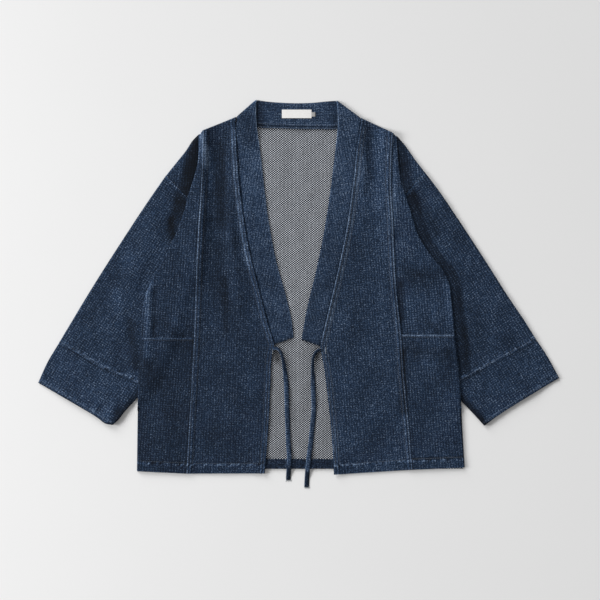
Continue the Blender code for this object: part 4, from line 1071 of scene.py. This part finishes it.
def flat_plan(box, columns, rows):
    """An even grid on a box given as its left, right, lower and upper side, from its top row down."""
    x, y = np.linspace(box[0], box[1], columns), np.linspace(box[3], box[2], rows)
    return np.stack(np.broadcast_arrays(x[None], y[:, None]), axis=2)


def make_back_hem():
    """An even strip on the back. The stitches along its top pucker it: a bell across, times a ripple."""
    plan = flat_plan(HEM_STRIP, 78, 14)
    x, y = plan[..., 0], plan[..., 1]
    pucker = 0.22 * bell(y - HEM_STRIP[2] - 4, 5) * ripple(x, y * 0.4, 8, 14)
    height = CLOTH + SEAM + CLOTH / 2 + 0.45 + np.clip(pucker, -0.3, 0.4)
    # The strip is darkened as a whole by painted shade, with a paler line along its top.
    tone = 0.10 * bell(y - HEM_STRIP[3], 2.0) - 0.22 + uneven(x, y, (0.10, 9, 15))
    sew("back_hem", raised(plan, height), grain_map(plan, 0, 16), tone)


make_back()
make_back_hem()

# %% [markdown]
# ## The collar band
#
# One long straight strip, folded double, runs round the neck and down both fronts. It is sewn here in three
# lengths, as it shows: across the back of the neck, and down each front from the fold at the shoulder to the
# loose lower end. Being double, it is thicker in the middle and rounds down to its edges.

# %% The band
FOLD_OUT = {"left": 81.0, "right": 74.0}  # where the band's fold crosses, outwards
BACK_BAND_SHARES = np.linspace(0.034, 0.966, 90)
BACK_BAND_NECK_SHARES = np.linspace(0.03, 0.97, 90)


def make_back_band():
    """A ruled strip from its top fold to the neck's seam, as high as it is thick, with rounded edges."""
    upper = along(BAND_TOP, BACK_BAND_SHARES) - (0, 0.2)
    lower = along(BACK_NECK, BACK_BAND_NECK_SHARES) + (0, SEAM / 2)
    share = np.concatenate([[0, 0.015, 0.04], np.linspace(0.08, 0.8, 14), np.linspace(0.83, 1, 12)])[:, None]
    plan = upper[None] + share[..., None] * (lower - upper)[None]
    x, y = plan[..., 0], plan[..., 1]
    up = (1 - share) * np.linalg.norm(lower - upper, axis=1)[None]
    rounded = np.sqrt(np.clip(1 - (2 * np.abs(share - 0.5)) ** 10, 0.05, 1))
    thickness = BAND * rounded - 0.35 * bell(up - 6.5, 1.2)
    # Pale rows of stitches with painted shade in the groove between them.
    tone = (0.20 + bells(up, (0.35, 1.5, 1.4), (-0.50, 4.8, 1.6), (0.28, 8.4, 1.6))
            + uneven(x, y, (0.05, 30, 17), (0.06, 9, 18)))
    # Painted shadow beside each front band's fold, where it lies over the back band.
    tone -= 0.45 * bell(x + FOLD_OUT["left"] - 5, 11) + 0.22 * bell(x - FOLD_OUT["right"] + 4, 10)
    sew("band_back", raised(plan, thickness / 2), grain_map(plan[..., ::-1], 0, 19), tone,
        (band_indigo, band_indigo), thickness)


BAND_LEAN = {"left": 9.5, "right": 10.5}
# Painted light along the inner edge of the left band, and, in BAND_SHADE, painted shade near each band's top.
PAINTED_INNER_EDGE_LIGHT = {"left": 0.50, "right": 0.0}
BAND_TONE = {"left": 0.12, "right": 0.06}
BAND_SHADE = {"left": (102, 330, 96, 285, 0, 22, -0.40), "right": (98, 345, 96, 290, 0, 20, -0.06)}


def make_front_band(side):
    """A strip from the inner edge to the seam, raised where it crosses the back band, rolled at its top."""
    inner, seam = moved_in(side.line["band_inner"], -0.4), moved_in(side.line["band_seam"], SEAM / 2)
    fold = seam[0] - inner[0]
    down_fold = unit(np.array([-fold[1], fold[0]]))
    down_fold *= -np.sign(down_fold[1])
    shares = np.concatenate([[0], np.linspace(0.0085, 1, 118)])
    plan, away, from_seam = strip(along(inner, shares), along(seam, shares), [0, 0.5, 1.2, 2.2, 3.6, 5.5],
                                  [0, 0.6, 1.4, 2.4, 4.0], 12)
    fade = np.exp(-np.arange(len(shares)) / 5.6)[:, None, None]
    plan = plan + (BAND / 2 + BAND_ROLL) * down_fold * fade
    x, y, across = plan[..., 0], plan[..., 1], away / (away + from_seam)
    height = BAND_MID + (BAND_OVER_MID - BAND_MID) * above(y, 272, 24)
    height = height + 0.25 * np.clip(ripple(x, y, 50, 20), -1, 1.5) * below(y, 260, 30)
    rounded = np.sqrt(np.clip(1 - (2 * np.abs(across - 0.5)) ** 12, 0.12, 1))
    # The tone: painted shade near the top, painted light on the left band's inner edge, darker at the seam, a
    # pale line at the inner edge near the neck, and painted shade at the band's loose lower end.
    tone = (BAND_TONE[side.name] + 0.22 * above(y, 60, 120) + creases([BAND_SHADE[side.name]], x, y)[1]
            + PAINTED_INNER_EDGE_LIGHT[side.name] * bell(away - 1.0, 2.0) - 0.30 * bell(from_seam, 1.8)
            + 0.9 * bell(away - 0.4, 0.8) * above(y, 262, 8) - 0.55 * bell(from_row(plan) - 1.0, 2.4)
            + uneven(x, y, (0.055, 50, 21), (0.04, 13, 22)))
    grid = roll_down(raised(plan, height), BAND_ROLL, BAND * 0.02)
    grain = grain_map(grid[..., :2], BAND_LEAN[side.name], 23 + side.sign)
    sew(f"band_{side.name}", side.place(grid), grain, over_roll(tone),
        (band_indigo, band_indigo), BAND * over_roll(rounded))


make_back_band()
for side in (left, right):
    make_front_band(side)

# %% [markdown]
# ## The centre fronts
#
# Each front runs from the band's seam, and below it from the open edge, out to the seam of the side panel.
# Its edges are turned under and stitched down twice, so they stand up like cords with grooves between. The
# hem is turned up twice, 19 mm deep, and its stitches draw the cloth into small slanting puckers.

# %% A centre front
EDGE_ON_BAND = 0.45  # how far the front's turned edge lies over the band's
FRONT_LEAN = {"left": 2.2, "right": 4.9}
PALE_EDGE = {"left": (1.30, 237, -25, 0.70), "right": (0.95, 400, -40, 0.25)}  # tone, from, to, elsewhere
PALE_SEAM = {"left": 0.0, "right": 0.80}  # the tone of the very edge beside the band
PALE_ROW = {"left": 0.15, "right": 0.75}  # and of the second row of stitches


def cord_profile(away, rows):
    """Height and tone across a turned and stitched edge: a groove at each row and a rise between them."""
    first, second = rows
    middle, gap = (first + second) / 2, second - first
    height = bells(away, (0.45, first / 2, first / 2), (-0.30, first, 0.9), (0.35, middle, gap / 3),
                   (-0.28, second, 1.0))
    # The tone: paler on each rise, for its rubbed dye and as painted light, and painted shade in each groove.
    tone = bells(away, (0.48, first / 2, first / 2.6), (-0.34, first + 0.6, 1.2),
                 (0.42, middle + 0.6, gap / 4.5), (-0.30, second + 0.4, 1.2))
    return height, tone


HEM_TONE = {"left": 0.05, "right": 0.0}  # how much paler the double cloth is


def hem_profile(side, up, across, seed, dark=0.15):
    """Height and tone of a double hem: a soft step 19 mm up, and waves that slant and fade away from it."""
    slant, up_row = ripple(across + 0.8 * up, up * 0.5, 9, seed), up - HEM_DEPTH
    height = 0.45 * below(up_row, 2, 4) + 0.20 * bell(up_row + 3, 7) * slant
    # The puckers' tone follows their waves: painted light on their ridges and painted shade in their troughs.
    tone = (0.16 * bell(up_row + 3, 6) * slant - dark * bell(up_row - 1.2, 1.5)
            + 0.34 * bell(up_row + 2.2, 1.8) * (1 + slant) + 0.16 * bell(up, 1.6)
            + HEM_TONE[side.name] * below(up_row, 0, 2))
    return height, tone


def front_grid(side):
    """The plan, and how far each point of it lies from the two long edges."""
    inner, outer = moved_in(side.inner_edge, EDGE_ON_BAND), moved_in(side.line["princess"], SEAM / 2)
    shares = np.concatenate([np.linspace(0, 0.965, 170), np.linspace(0.968, 1, 16)])
    start, end = along(inner, shares), along(outer, shares)
    top_roll, fade = ROLL + CLOTH / 2, np.exp(-np.arange(len(shares)) / 2.5)[:, None]
    start = start + fade * (-2.0, -0.6 * top_roll)
    end = end - fade * (0, top_roll)
    return strip(start, end, [0, 0.5, 1.1, 1.9, 2.9, 3.8, 4.8, 6, 7.5, 9, 10.5, 12, 14, 17],
                 [0, 0.4, 0.9, 1.5, 2.6, 3.8, 5, 6.5, 8.2, 9.6, 11, 13, 16], 26)


def front_height(side, plan, from_inner, from_princess, up):
    """The panel's height and tone: the layers, the raised strip at the outer edge, the cords and the hem."""
    x, y = plan[..., 0], plan[..., 1]
    height = side.front(x, y) + 1.1 * below(from_princess, 13, 6)
    tone = side.front_tone(x, y)
    for away, rows in ((from_inner, BAND_ROWS), (from_princess, PRINCESS_ROWS)):
        more, shade = cord_profile(away, rows)
        height, tone = height + more, tone + shade
    strength, start, end, elsewhere = PALE_EDGE[side.name]
    shown = elsewhere + (1 - elsewhere) * below(y, start, 30) * above(y, end, 60)
    tone = tone + strength * shown * bell(from_princess, 0.9)
    beside_band = above(y, -110, 10) * (0.5 + 0.5 * below(y, 280, 60))
    rows = bells(from_inner, (1, BAND_ROWS[1] - 1.8, 1.2), (-0.5, BAND_ROWS[0] + 0.5, 1.2))
    tone = tone + (PALE_SEAM[side.name] * beside_band - 0.2) * bell(from_inner - 0.6, 1.1)
    tone = tone + PALE_ROW[side.name] * beside_band * rows
    more, shade = hem_profile(side, up, x, 30 + side.sign)
    return height + more, tone + shade


def make_front(side):
    """The grid of a centre front with a rolled top, cut to the body's slight lean."""
    plan, from_inner, from_princess = front_grid(side)
    height, tone = front_height(side, plan, from_inner, from_princess, from_row(plan))
    grid = roll_down(raised(plan, height), ROLL)
    grain = grain_map(grid[..., :2], FRONT_LEAN[side.name], 32 + side.sign)
    sew(f"front_{side.name}", side.place(grid), grain, over_roll(tone))


for side in (left, right):
    make_front(side)

# %% [markdown]
# ## The side panels and pockets
#
# A side panel covers the sleeve's root and rolls down round the body's side. At the top it runs on over the
# drop shoulder as far as the armhole seam. The patch pocket lies on its lower part, so it is the same grid,
# from the opening down, moved out along the normals.

# %% A side panel
SIDE_LEAN = 4.7
ROWS = (27, 62, 64)  # to the armhole, to the pocket, to the hem
BUMP_ACROSS = np.linspace(0, 1, 20)
HEM_LINE = {"left": 0.25, "right": 0.8}  # how dark the line above the hem is
DROP_TONE = {"left": 0.0, "right": 0.18}
ABOVE_POCKET = {"left": 0.20, "right": 0.14}  # how much paler the panel is above the pocket


def side_grid(side):
    """Rows from the shoulder to the hem, columns from the princess seam to the inside of the rolled edge,
    with the outer line of the roll and the tone."""
    princess, outline = moved_in(side.line["princess"], -SEAM / 2), side.line["body_side"]
    outer, inset = moved_in(outline, CLOTH / 2), moved_in(outline, CLOTH / 2 + ROLL)
    down = np.concatenate([[0]] + [np.linspace(k, k + 1, count + 1)[1:] for k, count in enumerate(ROWS)])
    body_y, seam_y = (np.interp(down, range(4), [line[0, 1] - ROLL - CLOTH / 2, side.armpit[1],
                                                 POCKET_TOP[side.name], line[-1, 1]])
                      for line in (outline, princess))
    start, end, rim = at_heights(princess, seam_y), at_heights(inset, body_y), at_heights(outer, body_y)
    plan, from_seam, _ = strip(start, end, [0, 0.56, 1.4, 2.45], [0], 29)
    x, y = plan[..., 0], plan[..., 1]
    more, shade = hem_profile(side, from_row(plan), x, 40 + side.sign, HEM_LINE[side.name])
    above_pocket = ABOVE_POCKET[side.name] * above(y, POCKET_TOP[side.name], 60)
    tone = side.front_tone(x, y) - 0.34 * bell(from_seam, 2.2) + shade + above_pocket
    return raised(plan, side.front(x, y) + more), rim, tone


def roll_foot(side, rim):
    """How low the rolled side comes: just clear of the sleeve under it, and to the floor below the sleeve."""
    on_sleeve = side.sleeve_over(rim[:, 0], rim[:, 1]) + CLOTH / 2 + SEAM + ROLL_CLEARANCE
    return on_sleeve * above(rim[:, 1], *SIDE_TO_FLOOR)


print("a side panel has", sum(ROWS) + 1, "rows")

# %% The drop shoulder
def drop_shoulder(side, grid):
    """The part beyond the fold, between the side's first rows, the shoulder's slope and the armhole seam."""
    shared = grid[:ROWS[0] + 1, -1]
    slope = moved_in(side.line["shoulder_slope"], CLOTH / 2 + ROLL)
    seam_out = unit(side.shoulder_tip - side.armpit)
    seam_back = np.array([-seam_out[1], seam_out[0]])
    slope_top = along(slope, [0.03])[0]
    seam_end = side.shoulder_tip - (CLOTH / 2 + ROLL) * seam_out + SEAM / 2 * seam_back
    below = slope[(slope[:, 1] < slope_top[1]) & (slope[:, 1] > seam_end[1] + 3)]
    slope_line = np.concatenate([slope_top[None], below, seam_end[None]])
    top_line = np.stack([shared[0, :2], slope_top])
    seam_line = np.stack([shared[-1, :2] + SEAM / 2 * seam_back, seam_end])
    down = np.linspace(0, 1, len(shared))
    plan = patch(top_line, seam_line, shared[:, :2], slope_line, down, BUMP_ACROSS)
    x, y, out, down = plan[..., 0], plan[..., 1], BUMP_ACROSS[None], down[:, None]
    near_seam = side.sleeve_over(x, y) + 1.15 * (1 - out) ** 3
    valley = shared[:, 2][:, None] * (1 - out) + out * 3.1 + 1.1 * np.sin(np.pi * out)
    bump = raised(plan, valley + (near_seam - valley) * down**2)
    ahead = np.gradient(plan[:, -1], axis=0)
    normal = unit(np.stack([-ahead[:, 1], ahead[:, 0]], axis=1))
    normal[-1] = seam_out
    from_side = x - x_at(side.line["body_side"], y)
    # Painted shade beside the body's fold, as in the sleeve's valley.
    tone = side.sleeve_tone(x, y) + DROP_TONE[side.name] - 0.28 * bell(from_side, 12)
    return rolled(bump, plan[:, -1] + ROLL * normal, 0.0), tone


def widened(tone):
    """A tone grid with its last column and its first row repeated over the rolled edges."""
    return over_roll(np.concatenate([tone, np.repeat(tone[:, -1:], len(ROLL_TURN), axis=1)], axis=1))


def make_side(side):
    """The side panel and the drop shoulder as one list of points, since they share the fold's column."""
    grid, rim, tone = side_grid(side)
    rows = np.arange(len(grid))
    shoulder = np.interp(rows / ROWS[0], [0, 1 / 3, 2 / 3, 1], [2.6, 2.6, 2.9, 4.95])
    grid = rolled(grid, rim, np.where(rows <= ROWS[0], shoulder, roll_foot(side, rim)))
    bump, bump_tone = drop_shoulder(side, grid)
    grid, bump = roll_down(grid, ROLL), roll_down(bump, ROLL)
    columns, rows, extra = grid.shape[1], len(bump), bump.shape[1] - 1
    shared = (np.arange(rows) * columns + columns - 1)[:, None]
    index = np.concatenate([shared, np.arange(rows * extra).reshape(rows, extra) + grid[..., 0].size], axis=1)
    faces = np.concatenate([quads(len(grid), columns), cells(index)])
    points = np.concatenate([grid.reshape(-1, 3), bump[:, 1:].reshape(-1, 3)])
    all_tone = np.concatenate([widened(tone).ravel(), widened(bump_tone)[:, 1:].ravel()])
    sew(f"side_{side.name}", side.place(points)[None], grain_map(points[:, :2], SIDE_LEAN, 42 + side.sign),
        all_tone, (side_indigo, reverse), faces=faces)


print("the shoulder has", len(BUMP_ACROSS), "columns beyond the fold")

# %% Side panels and pockets
stitch_rows = {"left": [], "right": []}


def sewn_row(side, surface, row):
    """Keeps one row of a surface's points, half a cloth higher, as a line to stitch along."""
    stitch_rows[side.name].append(side.place(surface[row]) + (0, 0, CLOTH / 2))


def nearest_row(distance, wanted):
    """The row whose middle lies nearest to the wanted distance."""
    return int(np.argmin(np.abs(distance[:, distance.shape[1] // 2] - wanted)))


POCKET_EDGE = {"left": 0.8, "right": 1.25}  # how rubbed the edge of the opening is


def make_pocket(side):
    """The rows of the side panel below the opening, moved out by a cloth and a gap along the normals."""
    grid, _, tone = side_grid(side)
    normals = vertex_normals(grid.reshape(-1, 3), quads(*grid.shape[:2])).reshape(grid.shape)
    normals *= np.sign(normals[..., 2:3])
    first = ROWS[0] + ROWS[1]
    grid, tone = (grid + (CLOTH + SEAM) * normals)[first:], tone[first:]
    down = from_row(grid, 0)
    # A rubbed edge at the opening, and painted shadow just below it.
    tone = tone + POCKET_EDGE[side.name] * bell(down, 1.1) - 0.3 * bell(down - 4.5, 1.8)
    grid[..., 2] += 0.35 * below(down, 16, 3) - 0.25 * bell(down - 15, 1.2)
    sewn_row(side, grid, nearest_row(down, POCKET_ROW))
    sewn_row(side, grid, nearest_row(from_row(grid[..., :2]), HEM_DEPTH))
    sew(f"pocket_{side.name}", side.place(grid), grain_map(grid[..., :2], SIDE_LEAN, 45 + side.sign), tone,
        (side_indigo, reverse))


for side in (left, right):
    make_side(side)
    make_pocket(side)

# %% [markdown]
# ## The sleeves and cuffs
#
# A sleeve is a tube pressed flat, so a section of it is two layers joined by a turn at each edge. We carry
# that ring along the sleeve, from the armhole seam to the seam of the deep cuff, and again down the cuff to
# its open end. The upper layer has the folds, and sinks into a valley under the body, dark with painted
# shade.

# %% Flattened tubes
SLEEVE_LEAN = 32.5
TUBE_TURNS = np.radians([20, 40, 65, 90, 115, 140, 160])
TUBE_COLUMNS = 64
CUFF_TRIM = CLOTH / 2 + ROLL


def flat_tube(side, plan, detail):
    """Rings over a plan: the under layer, a half turn at the outer edge, the upper layer, a half turn."""
    x, y = plan[..., 0], plan[..., 1]
    under, over = side.sleeve_under(x, y), side.sleeve_over(x, y) + detail
    turned = []
    for edge, inward, turns in ((-1, -2, TUBE_TURNS), (0, 1, TUBE_TURNS[::-1])):
        beside = unit(plan[:, edge] - plan[:, inward])
        middle, half = (under[:, edge] + over[:, edge]) / 2, (over[:, edge] - under[:, edge]) / 2
        turned.append(np.stack([raised(plan[:, edge] + ROLL * np.sin(turn) * beside,
                                       middle - half * np.cos(turn)) for turn in turns], axis=1))
    return np.concatenate([raised(plan, under), turned[0], raised(plan, over)[:, ::-1], turned[1]], axis=1)


def upper_layer(rings, columns):
    """The part of the rings that is the upper layer, turned back to the plan's order."""
    first = columns + len(TUBE_TURNS)
    return rings[:, first:first + columns][:, ::-1]


def tube_tone(tone):
    """The tone of each ring point, in the order of flat_tube."""
    turns = len(TUBE_TURNS)
    return np.concatenate([tone, np.repeat(tone[:, -1:], turns, axis=1), tone[:, ::-1],
                           np.repeat(tone[:, :1], turns, axis=1)], axis=1)


def trimmed(line):
    """A line across a tube, less the room that the turned edges take at its two ends."""
    trim = CUFF_TRIM / reach_of(line)[-1]
    return along(line, np.linspace(trim, 1 - trim, 25))


def tube_edges(side, kind):
    """The two long edges of a sleeve or a cuff, inside the outline by the room of the turned edges."""
    return moved_in(side.line[kind + "_outer"], CUFF_TRIM), moved_in(side.line[kind + "_inner"], -CUFF_TRIM)


print("a tube has", 2 * (TUBE_COLUMNS + len(TUBE_TURNS)), "columns")

# %% Sleeves
def sew_tube(side, kind, plan, detail, tone, row, seed):
    """Makes the rings over a plan into cloth, and keeps one row of the upper layer for the stitches."""
    rings = flat_tube(side, plan, detail)
    sewn_row(side, upper_layer(rings, plan.shape[1]), row)
    sew(f"{kind}_{side.name}", side.place(rings), grain_map(rings[..., :2], SLEEVE_LEAN, seed + side.sign),
        tube_tone(tone), (sleeve_indigo, reverse), closed=True)


def make_sleeve(side):
    """A patch from the armhole seam to the cuff's seam, which stands up in a puckered ridge at its end."""
    line = side.line
    seam = unit(side.armpit - side.shoulder_tip)
    clear = np.array([seam[1], -seam[0]])
    clear *= -np.sign(clear[1]) * SEAM
    armhole = np.concatenate([[side.shoulder_tip + CUFF_TRIM * seam + clear], [side.armpit + clear],
                              line["hidden_armhole"][3:]])
    outer, inner = tube_edges(side, "sleeve")
    cuff = moved_in(trimmed(line["cuff_seam"]), SEAM / 2)
    armhole[-1] = inner[0]
    outer[0], outer[-1], inner[-1] = armhole[0], cuff[0], cuff[-1]
    down = np.concatenate([[0, 0.004, 0.01], np.linspace(0.02, 0.97, 92), [0.98, 0.988, 0.994, 1]])
    plan = patch(armhole, cuff, outer, inner, down, np.linspace(0, 1, TUBE_COLUMNS))
    x, y, from_cuff = plan[..., 0], plan[..., 1], from_row(plan)
    wave = ripple(x, y, 9, 50)
    detail = 0.35 * bell(from_cuff - 3.5, 3) + 0.15 * bell(from_cuff - 5, 6) * wave
    # Painted light along the armhole seam, where the drop shoulder's step would shade the sleeve.
    tone = (side.sleeve_tone(x, y) + 0.28 * bell(from_cuff - 4.5, 4.5) * (1 + 1.3 * wave)
            + 0.6 * bell(from_row(plan, 0) - 2, 2.2))
    sew_tube(side, "sleeve", plan, np.maximum(detail, -0.3), tone, nearest_row(from_cuff, CUFF_ROW), 52)


print("each layer of a sleeve has", TUBE_COLUMNS, "columns")

# %% Cuffs
def cuff_plan(side):
    """The patch from the seam to the open edge."""
    outer, inner = tube_edges(side, "cuff")
    start, edge = moved_in(trimmed(side.line["cuff_seam"]), -SEAM / 2), trimmed(side.line["cuff_edge"])
    outer[0], outer[-1], inner[0], inner[-1] = start[0], edge[0], start[-1], edge[-1]
    down = np.concatenate([[0, 0.01, 0.03, 0.06], np.linspace(0.09, 0.9, 26), np.linspace(0.92, 1, 8)])
    return patch(start, edge, outer, inner, down, np.linspace(0, 1, TUBE_COLUMNS))


CUFF_TONE = 0.09
CUFF_PUCKER = {"left": 0.30, "right": 0.14}
# Painted shade where the cloth turns under at the inner edge.
CUFF_SHADE = {"left": 0.65, "right": 0.80}  # how dark the cloth turns under at the inner edge


def make_cuff(side):
    """A deep hem: sunk at its seam, with a soft ridge and small waves above its open edge."""
    plan = cuff_plan(side)
    x, y, from_seam, up = plan[..., 0], plan[..., 1], from_row(plan, 0), from_row(plan)
    wave = ripple(x, y, 8, 54)
    detail = -0.25 * bell(from_seam, 1.5) + 0.3 * bell(up - 2, 3) + 0.16 * bell(up - 4, 5) * wave
    from_inner = np.linalg.norm(plan - plan[:, -1:], axis=2)
    # The tone: darker at the seam, a pale puckered row above the edge, and painted shade where the cloth
    # turns under at the open edge and along the inner edge.
    tone = (side.sleeve_tone(x, y) + CUFF_TONE - 0.32 * bell(from_seam - 1, 2.8)
            + CUFF_PUCKER[side.name] * bell(up - 6, 4) * (1 + 0.6 * wave)
            - 0.55 * bell(up + 0.5, 2.2) - CUFF_SHADE[side.name] * bell(from_inner, 8))
    sew_tube(side, "cuff", plan, detail, tone, nearest_row(up, CUFF_EDGE_ROW), 56)


for side in (left, right):
    make_sleeve(side)
    make_cuff(side)

# %% [markdown]
# ## The neck label
#
# A white woven label is sewn inside the neck, on the back length of the band, with a small tab beside it.
# Both are bare here. They are thin rectangles that lie on the band and sink a little at their sewn ends.

# %% Label and tab
def make_plate(node, box, tape):
    """A thin rectangle. Its two ends sink by the fourth power of the distance from the middle, where they
    are sewn."""
    plan = flat_plan(box, 40, 16)
    centre, half = (box[0] + box[1]) / 2, (box[1] - box[0]) / 2
    level = BAND + 0.55 + 0.25 * (1 - ((plan[..., 0] - centre) / half) ** 4)
    sew(node, raised(plan, level), plan, np.zeros_like(level), (tape, tape), 0.7)


make_plate("label", LABEL_BOX, label_white)
make_plate("size_tab", SIZE_TAB_BOX, tab_white)

# %% [markdown]
# ## Stitches
#
# A row of topstitching is a chain of short bars of thread. Each bar is a small spindle: two points and three
# rings of six, its ends sunk in the cloth. We make one spindle and place copies along a line on the surface,
# by turning it to the line's direction, all as one array.

# %% Rows of stitches
BACK_BAND_ROWS = (1.8, 8.2)
STITCH_PITCH = 3.3
STITCH_LENGTH = 2.7
THREAD_THICK = 0.62


def spindle():
    """Points as (along, across, up) in millimetres, and faces, of one stitch."""
    turn = np.radians(np.arange(0, 360, 60))
    rings = [np.stack([np.full(6, t * STITCH_LENGTH / 2), r * THREAD_THICK / 2 * np.cos(turn),
                       r * THREAD_THICK / 2 * np.sin(turn) + sink], axis=1)
             for t, r, sink in ((-0.75, 0.85, -0.05), (0, 1.0, 0.12), (0.75, 0.85, -0.05))]
    points = np.concatenate([*rings, [[-STITCH_LENGTH / 2, 0, -0.4], [STITCH_LENGTH / 2, 0, -0.4]]])
    side = np.arange(6)
    ahead = (side + 1) % 6
    first = np.stack([ahead, side, np.full(6, 18)], axis=1)
    last = np.stack([12 + side, 12 + ahead, np.full(6, 19)], axis=1)
    walls = quads(3, 6, closed=True)
    halves = np.concatenate([walls[:, [0, 1, 2]], walls[:, [0, 2, 3]]])
    return points, np.concatenate([halves, first, last])


def stitch_places(line, rng):
    """Middle points and directions of the stitches on a line of surface points, unevenly spaced a little."""
    length = reach_of(line)[-1]
    count = int(length / STITCH_PITCH)
    at = (np.arange(count) + 0.5 + rng.normal(0, 0.05, count)) * STITCH_PITCH / length
    before, after = along(line, at - 0.4 / length), along(line, at + 0.4 / length)
    return (before + after) / 2, unit(after - before)


def make_stitches(name, lines, material):
    """All the stitches of these lines as one mesh."""
    random = np.random.default_rng(len(lines))
    places = [stitch_places(line, random) for line in lines]
    middle, ahead = (np.concatenate([place[k] for place in places])[:, None] for k in (0, 1))
    across = unit(np.cross(ahead, (0, 0, 1.0)))
    shape, faces = spindle()
    points = middle + shape[:, :1] * ahead + shape[:, 1:2] * across + shape[:, 2:] * np.cross(across, ahead)
    all_faces = faces[None] + (np.arange(len(middle)) * len(shape))[:, None, None]
    piece = mesh_object(name, points.reshape(-1, 3), all_faces.reshape(-1, 3), [material])
    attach(piece, "root")
    print(name, "has", len(middle), "stitches")


print("a stitch has", len(spindle()[1]), "faces")

# %% All the stitches
def on_front(side, line, up=400.0):
    """A plan line laid on the top of the centre front."""
    from_inner = np.abs(line[:, 0] - x_at(side.inner_edge, line[:, 1])) * 0.98
    from_princess = np.abs(x_at(side.line["princess"], line[:, 1]) - line[:, 0])
    height, _ = front_height(side, line, from_inner, from_princess, np.full(len(line), float(up)))
    return side.place(raised(line, height + CLOTH / 2))


def between(line, top, bottom, count=160):
    """The stretch of a line that runs down, between two heights."""
    return at_heights(line, np.linspace(top, bottom, count))


for side in (left, right):
    seam, edge, princess = side.line["band_seam"], side.line["front_edge"], side.line["princess"]
    rows = [on_front(side, between(moved_in(side.inner_edge, -away), 300, -340)) for away in BAND_ROWS]
    rows += [on_front(side, between(moved_in(princess, away), 285, -345)) for away in PRINCESS_ROWS]
    hem = np.stack([edge[-1] + (12, HEM_DEPTH), princess[-1] + (-12, HEM_DEPTH)])
    rows.append(on_front(side, along(hem, np.linspace(0, 1, 60)), HEM_DEPTH))
    make_stitches(f"stitches_{side.name}", rows + stitch_rows[side.name], thread[side.name])

tacks = [on_front(left, np.linspace((49.2 + k, -118), (49.4 + k, -131), 40)) for k in (0.0, 0.8)]
tacks += [on_front(right, np.linspace((50.6 + k, -114), (50.8 + k, -129), 40)) for k in (0.0, 0.8)]
make_stitches("stitches_tacks", tacks, pale_thread)
neck_rows = [along(BACK_NECK, np.linspace(0.16, 0.84, 80)) + (0, up) for up in BACK_BAND_ROWS]
make_stitches("stitches_neck", [raised(line, np.full(80, BAND)) for line in neck_rows], thread["right"])

# %% [markdown]
# ## Floor and light
#
# The floor is a pale matt board. A wide window light falls from beyond the collar and from the left, so that
# the short shadows lie below and to the right of the cuffs and the hem. One large soft lamp stands to the
# left, where the picture is a little brighter, and an even sky fills the rest.

# %% Floor, light and sky
FLOOR_SIZE = 16.0
LAMP_PLACE = (-4.4, 0.1, 2.0)
LAMP_SIZE = 1.6
LAMP_POWER = 200.0
WINDOW_FROM = (-0.50, 0.68, 0.36)  # the direction its light comes from
WINDOW_STRENGTH = 2.5
WINDOW_SPREAD = np.radians(32)
SKY = (0.335, 0.335, 0.335, 1)


board = speckled("pale_board", (0.80, 0.80, 0.80), scale=3.0, detail=3.0, dark=0.975, roughness=0.95,
                 numbers={"Specular IOR Level": 0.1})
corners = FLOOR_SIZE / 2 / MM * np.array([(-1, -1, 0), (1, -1, 0), (1, 1, 0), (-1, 1, 0)])
floor = add_object("floor", new_mesh("floor", corners, [(0, 1, 2, 3)], [board]))


def add_light(data, place):
    """Puts a light at a place, turned to shine on the middle of the floor."""
    light = add_object(data.name, data)
    light.location = place
    x, y, z = place
    light.rotation_euler = (np.arctan2(np.hypot(x, y), z), 0, np.arctan2(-y, -x) - np.pi / 2)


lamp = bpy.data.lights.new("soft_lamp", "AREA")
lamp.shape, lamp.size, lamp.energy = "SQUARE", LAMP_SIZE, LAMP_POWER
window = bpy.data.lights.new("window", "SUN")
window.energy, window.angle = WINDOW_STRENGTH, WINDOW_SPREAD
add_light(lamp, LAMP_PLACE)
add_light(window, WINDOW_FROM)

world = bpy.data.worlds.new("sky")
world.use_nodes = True
world.node_tree.nodes["Background"].inputs["Color"].default_value = SKY
bpy.context.scene.world = world
bpy.context.scene.view_settings.view_transform = "Standard"
print("the lamp stands", round(float(np.linalg.norm(LAMP_PLACE)), 1), "m away")
